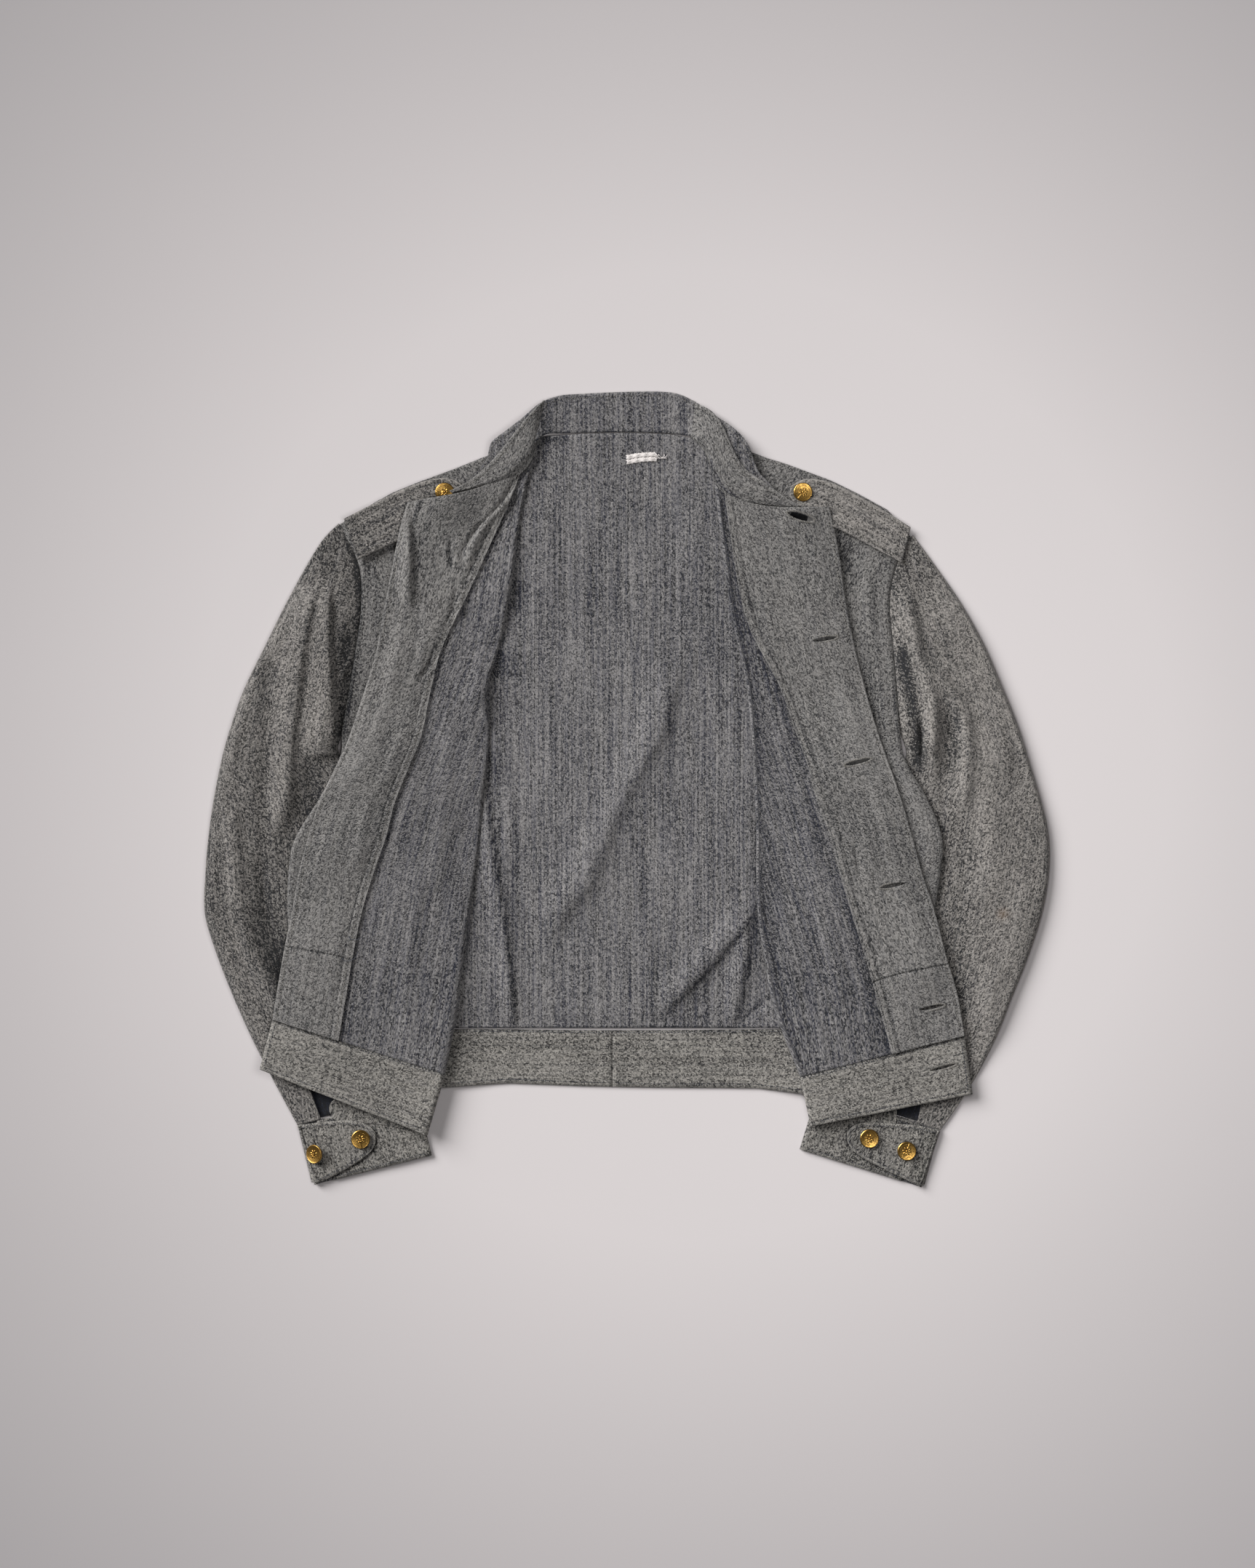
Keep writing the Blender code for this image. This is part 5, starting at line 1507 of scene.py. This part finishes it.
def model_button():
    """A shank button: turned shell with a raised rim, a beaded ring and a plain rosette."""
    bpy.ops.object.select_all(action="DESELECT")
    radius, height = BUTTON_STEPS[0]
    bpy.ops.mesh.primitive_circle_add(
        vertices=48, radius=radius * MILLIMETRE, fill_type="NGON", location=(0.0, 0.0, height * MILLIMETRE))
    shell = bpy.context.object
    shell.name = "button_shell"
    bpy.ops.object.transform_apply(location=True)
    bpy.ops.object.mode_set(mode="EDIT")
    for next_radius, next_height in BUTTON_STEPS[1:]:
        bpy.ops.mesh.select_mode(type="FACE")
        shaped = bmesh.from_edit_mesh(shell.data)
        top = max(shaped.faces, key=lambda face: (round(face.calc_center_median().z, 6), len(face.verts)))
        for face in shaped.faces:
            face.select_set(face == top)
        bmesh.update_edit_mesh(shell.data)
        bpy.ops.mesh.extrude_region_move(
            TRANSFORM_OT_translate={"value": (0.0, 0.0, (next_height - height) * MILLIMETRE)})
        scale = next_radius / radius
        bpy.ops.transform.resize(value=(scale, scale, 1.0), center_override=(0.0, 0.0, 0.0))
        radius, height = next_radius, next_height
    bpy.ops.mesh.inset(thickness=0.9 * MILLIMETRE, depth=0.05 * MILLIMETRE)
    bpy.ops.object.mode_set(mode="OBJECT")
    joined = [shell]
    for number in range(PETALS):
        angle = 2 * math.pi * number / PETALS
        bpy.ops.mesh.primitive_uv_sphere_add(segments=12, ring_count=8, radius=MILLIMETRE)
        petal = bpy.context.object
        petal.scale = PETAL_SIZE
        petal.rotation_euler = (0.0, 0.0, angle)
        petal.location = on_ring(PETAL_RING, angle, PETAL_HEIGHT)
        joined.append(petal)
    bpy.ops.mesh.primitive_uv_sphere_add(segments=16, ring_count=8, radius=MILLIMETRE)
    heart = bpy.context.object
    heart.scale = HEART_SIZE
    heart.location = on_ring(0.0, 0.0, HEART_HEIGHT)
    joined.append(heart)
    for number in range(BEADS):
        bpy.ops.mesh.primitive_ico_sphere_add(subdivisions=1, radius=BEAD_RADIUS * MILLIMETRE)
        bead = bpy.context.object
        bead.location = on_ring(BEAD_RING, 2 * math.pi * number / BEADS, BEAD_HEIGHT)
        joined.append(bead)
    select_only(*joined)
    bpy.ops.object.transform_apply(location=True, rotation=True, scale=True)
    bpy.ops.object.join()
    bpy.ops.object.shade_smooth_by_angle(angle=math.radians(38.0))
    shell.data.materials.append(BRASS)
    tarnish = []
    for vert in shell.data.vertices:
        from_middle = math.hypot(vert.co.x, vert.co.y) / MILLIMETRE
        high = vert.co.z / MILLIMETRE
        in_face = 0.35 if from_middle < RIM_INNER_RADIUS and high < RIM_HEIGHT else 0.0
        tarnish.append(in_face + (0.25 if high < SHANK_HEIGHT else 0.0))
    note_on_points(shell.data, "hollow", tarnish)
    return shell


def dress_buttons():
    """A copy of the button at each place, the front buttons face down and flatter, between the layers."""
    pattern = model_button()
    places = []
    for name, x, y, seat_z, lean in BUTTON_ROWS:
        places.append((name, x, y, seat_z, -math.radians(lean), 0.0, 1.0))
    levels = np.array(FRONT_BUTTON_LEVELS)
    rows = rows_at(FRONT_ROWS["right"], levels)
    x, y, z = turned_points(rows, np.array([[FRONT_BUTTON_SHARE]]), levels, "right", CLOTH)
    for number in range(len(levels)):
        seat_z = z[number, 0] - CLOTH / 2 - LAID_GAP - 0.6
        name = f"front_button_{number + 1}"
        places.append((name, x[number, 0], y[number, 0], seat_z, 0.0, math.pi, FRONT_BUTTON_SHRINK))
    for number, (name, x, y, seat_z, lean, over, shrink) in enumerate(places):
        mesh = pattern.data.copy()
        mesh.transform(
            Matrix.Translation((x * MILLIMETRE, y * MILLIMETRE, seat_z * MILLIMETRE))
            @ Matrix.Rotation(lean, 4, "Y") @ Matrix.Rotation(over, 4, "X")
            @ Matrix.Diagonal((1.0, 1.0, shrink, 1.0)) @ Matrix.Rotation(0.9 * number, 4, "Z")
        )
        button = put_in_scene(name + "_gilt", mesh)
        keep_piece(button, "gilt_brass", name)
    bpy.data.objects.remove(pattern)


# Stitching
def model_stitch():
    """One stitch, as points and faces, lying along X."""
    bpy.ops.object.select_all(action="DESELECT")
    bpy.ops.mesh.primitive_ico_sphere_add(subdivisions=1, radius=1.0)
    bead = bpy.context.object
    bead.scale = (STITCH_LENGTH / 2, STITCH_RADIUS, STITCH_RADIUS)
    bpy.ops.object.transform_apply(scale=True)
    points = np.array([tuple(vert.co) for vert in bead.data.vertices])
    faces = np.array([tuple(face.vertices) for face in bead.data.polygons])
    bpy.data.objects.remove(bead)
    return points, faces


STITCH_POINTS, STITCH_FACES = model_stitch()


def inset_line(points, border, inset=STITCH_INSET):
    """The line beside one border of a grid, clear of its ends."""
    turned = points.transpose(1, 0, 2) if border in ("top", "bottom") else points
    if border in ("right", "bottom"):
        turned = turned[:, ::-1]
    far = steps_along(turned)
    line = np.stack([
        [np.interp(inset, far[row], turned[row, :, axis]) for row in range(len(turned))] for axis in range(3)
    ], axis=-1)
    run = steps_along(line[None])[0]
    return line[(run > inset) & (run < run[-1] - inset)]


def unit(vectors):
    return vectors / np.maximum(np.linalg.norm(vectors, axis=1, keepdims=True), 1e-6)


def beads(name, material, middles, along, raise_by):
    """Many stitches in one piece: their middles on the cloth and the way each one runs."""
    along = unit(along)
    across = unit(np.cross([0.0, 0.0, 1.0], along))
    upward = np.cross(along, across)
    middles = middles + upward * raise_by
    turned = np.stack([along, across, upward], axis=1)
    points = middles[:, None, :] + np.einsum("pa,nab->npb", STITCH_POINTS, turned)
    steps = (np.arange(len(middles)) * len(STITCH_POINTS))[:, None, None]
    mesh = bpy.data.meshes.new(name)
    faces = (STITCH_FACES[None] + steps).reshape(-1, 3)
    mesh.from_pydata((points.reshape(-1, 3) * MILLIMETRE).tolist(), [], faces.tolist())
    mesh.materials.append(material)
    mesh.shade_smooth()
    keep_piece(put_in_scene(name, mesh), "cloth_outside")


def stitch_lines(name, lines, material, thick=CLOTH):
    """Rows of stitches along lines of points in the middle plane of a sheet."""
    middles = []
    runs = []
    for line in lines:
        if len(line) < 2:
            continue
        far = steps_along(line[None])[0]
        places = np.arange(STITCH_PITCH / 2, far[-1], STITCH_PITCH)
        middle, ahead, behind = [
            np.stack([np.interp(places + move, far, line[:, axis]) for axis in range(3)], axis=-1)
            for move in (0.0, 0.8, -0.8)
        ]
        middles.append(middle)
        runs.append(ahead - behind)
    beads(name, material, np.concatenate(middles), np.concatenate(runs), thick / 2 + 0.06)


def lay_threads(name, loops, material):
    """Free ends of thread, each a loop of points."""
    runs = [np.gradient(loop, axis=0) for loop in loops]
    beads(name, material, np.concatenate(loops), np.concatenate(runs), 0.0)


def height_on(grid, x, y):
    """Height of a sheet's middle plane nearest to a place."""
    away = np.hypot(grid[..., 0] - x, grid[..., 1] - y)
    return grid[..., 2].reshape(-1)[int(away.argmin())]


def sew_buttonhole(number, names, grid, row, thick):
    """Cut a slit through the named layers and sew round it with close short stitches."""
    x, y, lean, half_length, half_opening = row
    z = height_on(grid, x, y)
    run = np.array([math.cos(math.radians(lean)), math.sin(math.radians(lean)), 0.0])
    side = np.array([-run[1], run[0], 0.0])
    middle = np.array([x, y, z])
    share = np.linspace(-1.0, 1.0, 9)
    opening = half_opening * (1.0 - share ** 2) ** 0.6
    upper = [middle + run * half_length * s + side * o for s, o in zip(share, opening)]
    lower = [middle + run * half_length * s - side * o for s, o in zip(share[-2:0:-1], opening[-2:0:-1])]
    for name in names:
        cut_through(bpy.data.objects[name], [point[:2] for point in upper + lower], z - 4.4, z + 4.0)
    share = np.linspace(-1.0, 1.0, int(half_length * 2.4))[:, None]
    beside = half_opening * (1.0 - share ** 2) ** 0.6 + 0.9
    across_end = np.linspace(-0.8, 0.8, 3)[:, None]
    middles = np.concatenate([
        middle + share * run * half_length + beside * side,
        middle + share * run * half_length - beside * side,
        middle + run * (half_length + 0.8) + across_end * side,
        middle - run * (half_length + 0.8) + across_end * side,
    ])
    runs = np.concatenate([np.repeat([side], 2 * len(share), axis=0), np.repeat([run], 6, axis=0)])
    beads(f"buttonhole_stitches_{number}", THREAD, middles, runs, thick / 2 - 0.1)


def dress_label(back_grid):
    """A torn remnant of white tape: two narrow frayed strips, with loose threads at one end."""
    middle_x, middle_y = LABEL_CENTRE
    z = height_on(back_grid, middle_x, middle_y) + CLOTH / 2 + 0.6
    turn = math.radians(LABEL_TURN)
    for number, offset in enumerate((2.0, -2.1)):
        along = np.linspace(-14.0, 12.0, 40)[:, None]
        across = np.linspace(-1.0, 1.0, 9)[None, :]
        ragged = 1.9 + 0.25 * np.sin(along * 1.9 + number) + 0.15 * np.sin(along * 4.3)
        local_y = offset + ragged * across + 0.9 * np.cos(along / 9.0) - 0.5
        local_x = along + 0.0 * across + 0.5 * np.sin(across * 5.0 + number)
        height = z + 0.5 * (1.0 - across ** 2) + 0.35 * np.sin(along * 0.9 + number)
        x = middle_x + local_x * math.cos(turn) - local_y * math.sin(turn)
        y = middle_y + local_x * math.sin(turn) + local_y * math.cos(turn)
        uv = as_grid(local_x, local_y)
        edge = np.full(x.shape, FAR_INSIDE)
        tape = cloth_sheet(
            f"label_tape_strip_{number + 1}", as_grid(x, y, height), 0.4, TAPE, TAPE, uv, edge, (5, 3))
        keep_piece(tape, "white_tape", *(["label_tape"] if number == 0 else []))
    steps = np.linspace(0.0, 1.0, 60)
    loops = []
    for curl in range(3):
        angle = steps * (5.0 + curl) + curl
        x = middle_x + 11.0 + 9.0 * steps + 1.3 * np.cos(angle)
        loops.append(as_grid(x, middle_y + 1.0 + 1.5 * np.sin(angle), z + 0.4))
    lay_threads("label_threads", loops, TAPE)


def dress_loose_threads(facing):
    """Short broken ends of thread that curl off the hem of the right facing."""
    steps = np.linspace(0.0, 1.0, 26)
    loops = []
    for number, (x, y) in enumerate(LOOSE_THREAD_PLACES):
        z = height_on(facing, x, y) + CLOTH
        angle = steps * 4.6 + 0.6 + 2.0 * number
        curl_x = x + 9.0 * steps - 2.0 + 2.6 * np.cos(angle)
        loops.append(as_grid(curl_x, y + 5.0 * steps + 2.6 * np.sin(angle), z + 0.8 * steps))
    lay_threads("loose_threads", loops, DARK_THREAD)


# Stage
def build_stage():
    """The paper floor, a broad low sun as the window, a small lamp overhead, and the camera."""
    bpy.ops.object.select_all(action="DESELECT")
    bpy.ops.mesh.primitive_plane_add(size=8.0, location=(0.0, 0.0, -0.4 * MILLIMETRE))
    floor = bpy.context.object
    floor.name = "floor"
    floor.data.materials.append(PAPER)
    world = bpy.data.worlds.new("studio")
    bpy.context.scene.world = world
    world.use_nodes = True
    sky = world.node_tree.nodes["Background"]
    fill_inputs(world.node_tree, sky, {"Color": linear("#fbf7f7"), "Strength": 0.08})
    sun = bpy.data.lights.new("window_light", "SUN")
    sun.energy = 4.7
    sun.angle = 0.62
    window = put_in_scene("window_light", sun)
    window.location = (-1.5, 1.1, 1.25)
    window.rotation_euler = (-window.location).to_track_quat("-Z", "Y").to_euler()
    disk = bpy.data.lights.new("overhead_light", "AREA")
    disk.energy = 3.8
    disk.shape = "DISK"
    disk.size = 0.5
    put_in_scene("overhead_light", disk).location = (0.15, -0.03, 1.0)
    camera = bpy.data.cameras.new("camera")
    camera.sensor_width = SENSOR_WIDTH
    camera.lens = SENSOR_WIDTH * CAMERA_HEIGHT / FRAME_HEIGHT
    eye = put_in_scene("camera", camera)
    eye.location = (*FRAME_MIDDLE, CAMERA_HEIGHT)
    bpy.context.scene.camera = eye
    bpy.context.scene.view_settings.view_transform = "Standard"


build_stage()
back_grid = dress_back()
band_lines = dress_back_band()
dress_label(back_grid)
right_facing = dress_front("right")
left_facing = dress_front("left")
dress_loose_threads(right_facing)
front_lines = []
for facing in (right_facing, left_facing):
    front_lines += [inset_line(facing, "left"), inset_line(facing, "right")]
for number, row in enumerate(BUTTONHOLE_ROWS):
    facing_name = "left_facing_lower_cloth" if row is BUTTONHOLE_ROWS[-1] else "left_facing_cloth"
    sew_buttonhole(number + 1, ["left_front_cloth", facing_name], left_facing, row, CLOTH)
strap_lines = []
cuff_lines = []
for side in ("right", "left"):
    turned_band = dress_front_band(side)
    band_lines += [inset_line(turned_band, "right"), inset_line(turned_band, "bottom")]
    band_lines.append(inset_line(turned_band, "top", SEAM_STITCH_INSET))
    dress_sleeve(side)
    cuff_lines += dress_cuff(side)
    strap_lines += dress_strap(side)
sew_buttonhole(6, ["left_waistband_cloth"], turned_band, BAND_BUTTONHOLE, DOUBLE_CLOTH)
collar_lines = dress_collar()
stitch_lines("front_stitches", front_lines, THREAD)
stitch_lines("band_stitches", band_lines, DARK_THREAD, DOUBLE_CLOTH)
stitch_lines("cuff_stitches", cuff_lines, DARK_THREAD, CUFF_CLOTH)
stitch_lines("strap_stitches", strap_lines, THREAD, STRAP_CLOTH)
stitch_lines("collar_stitches", collar_lines, THREAD, DOUBLE_CLOTH)
dress_buttons()
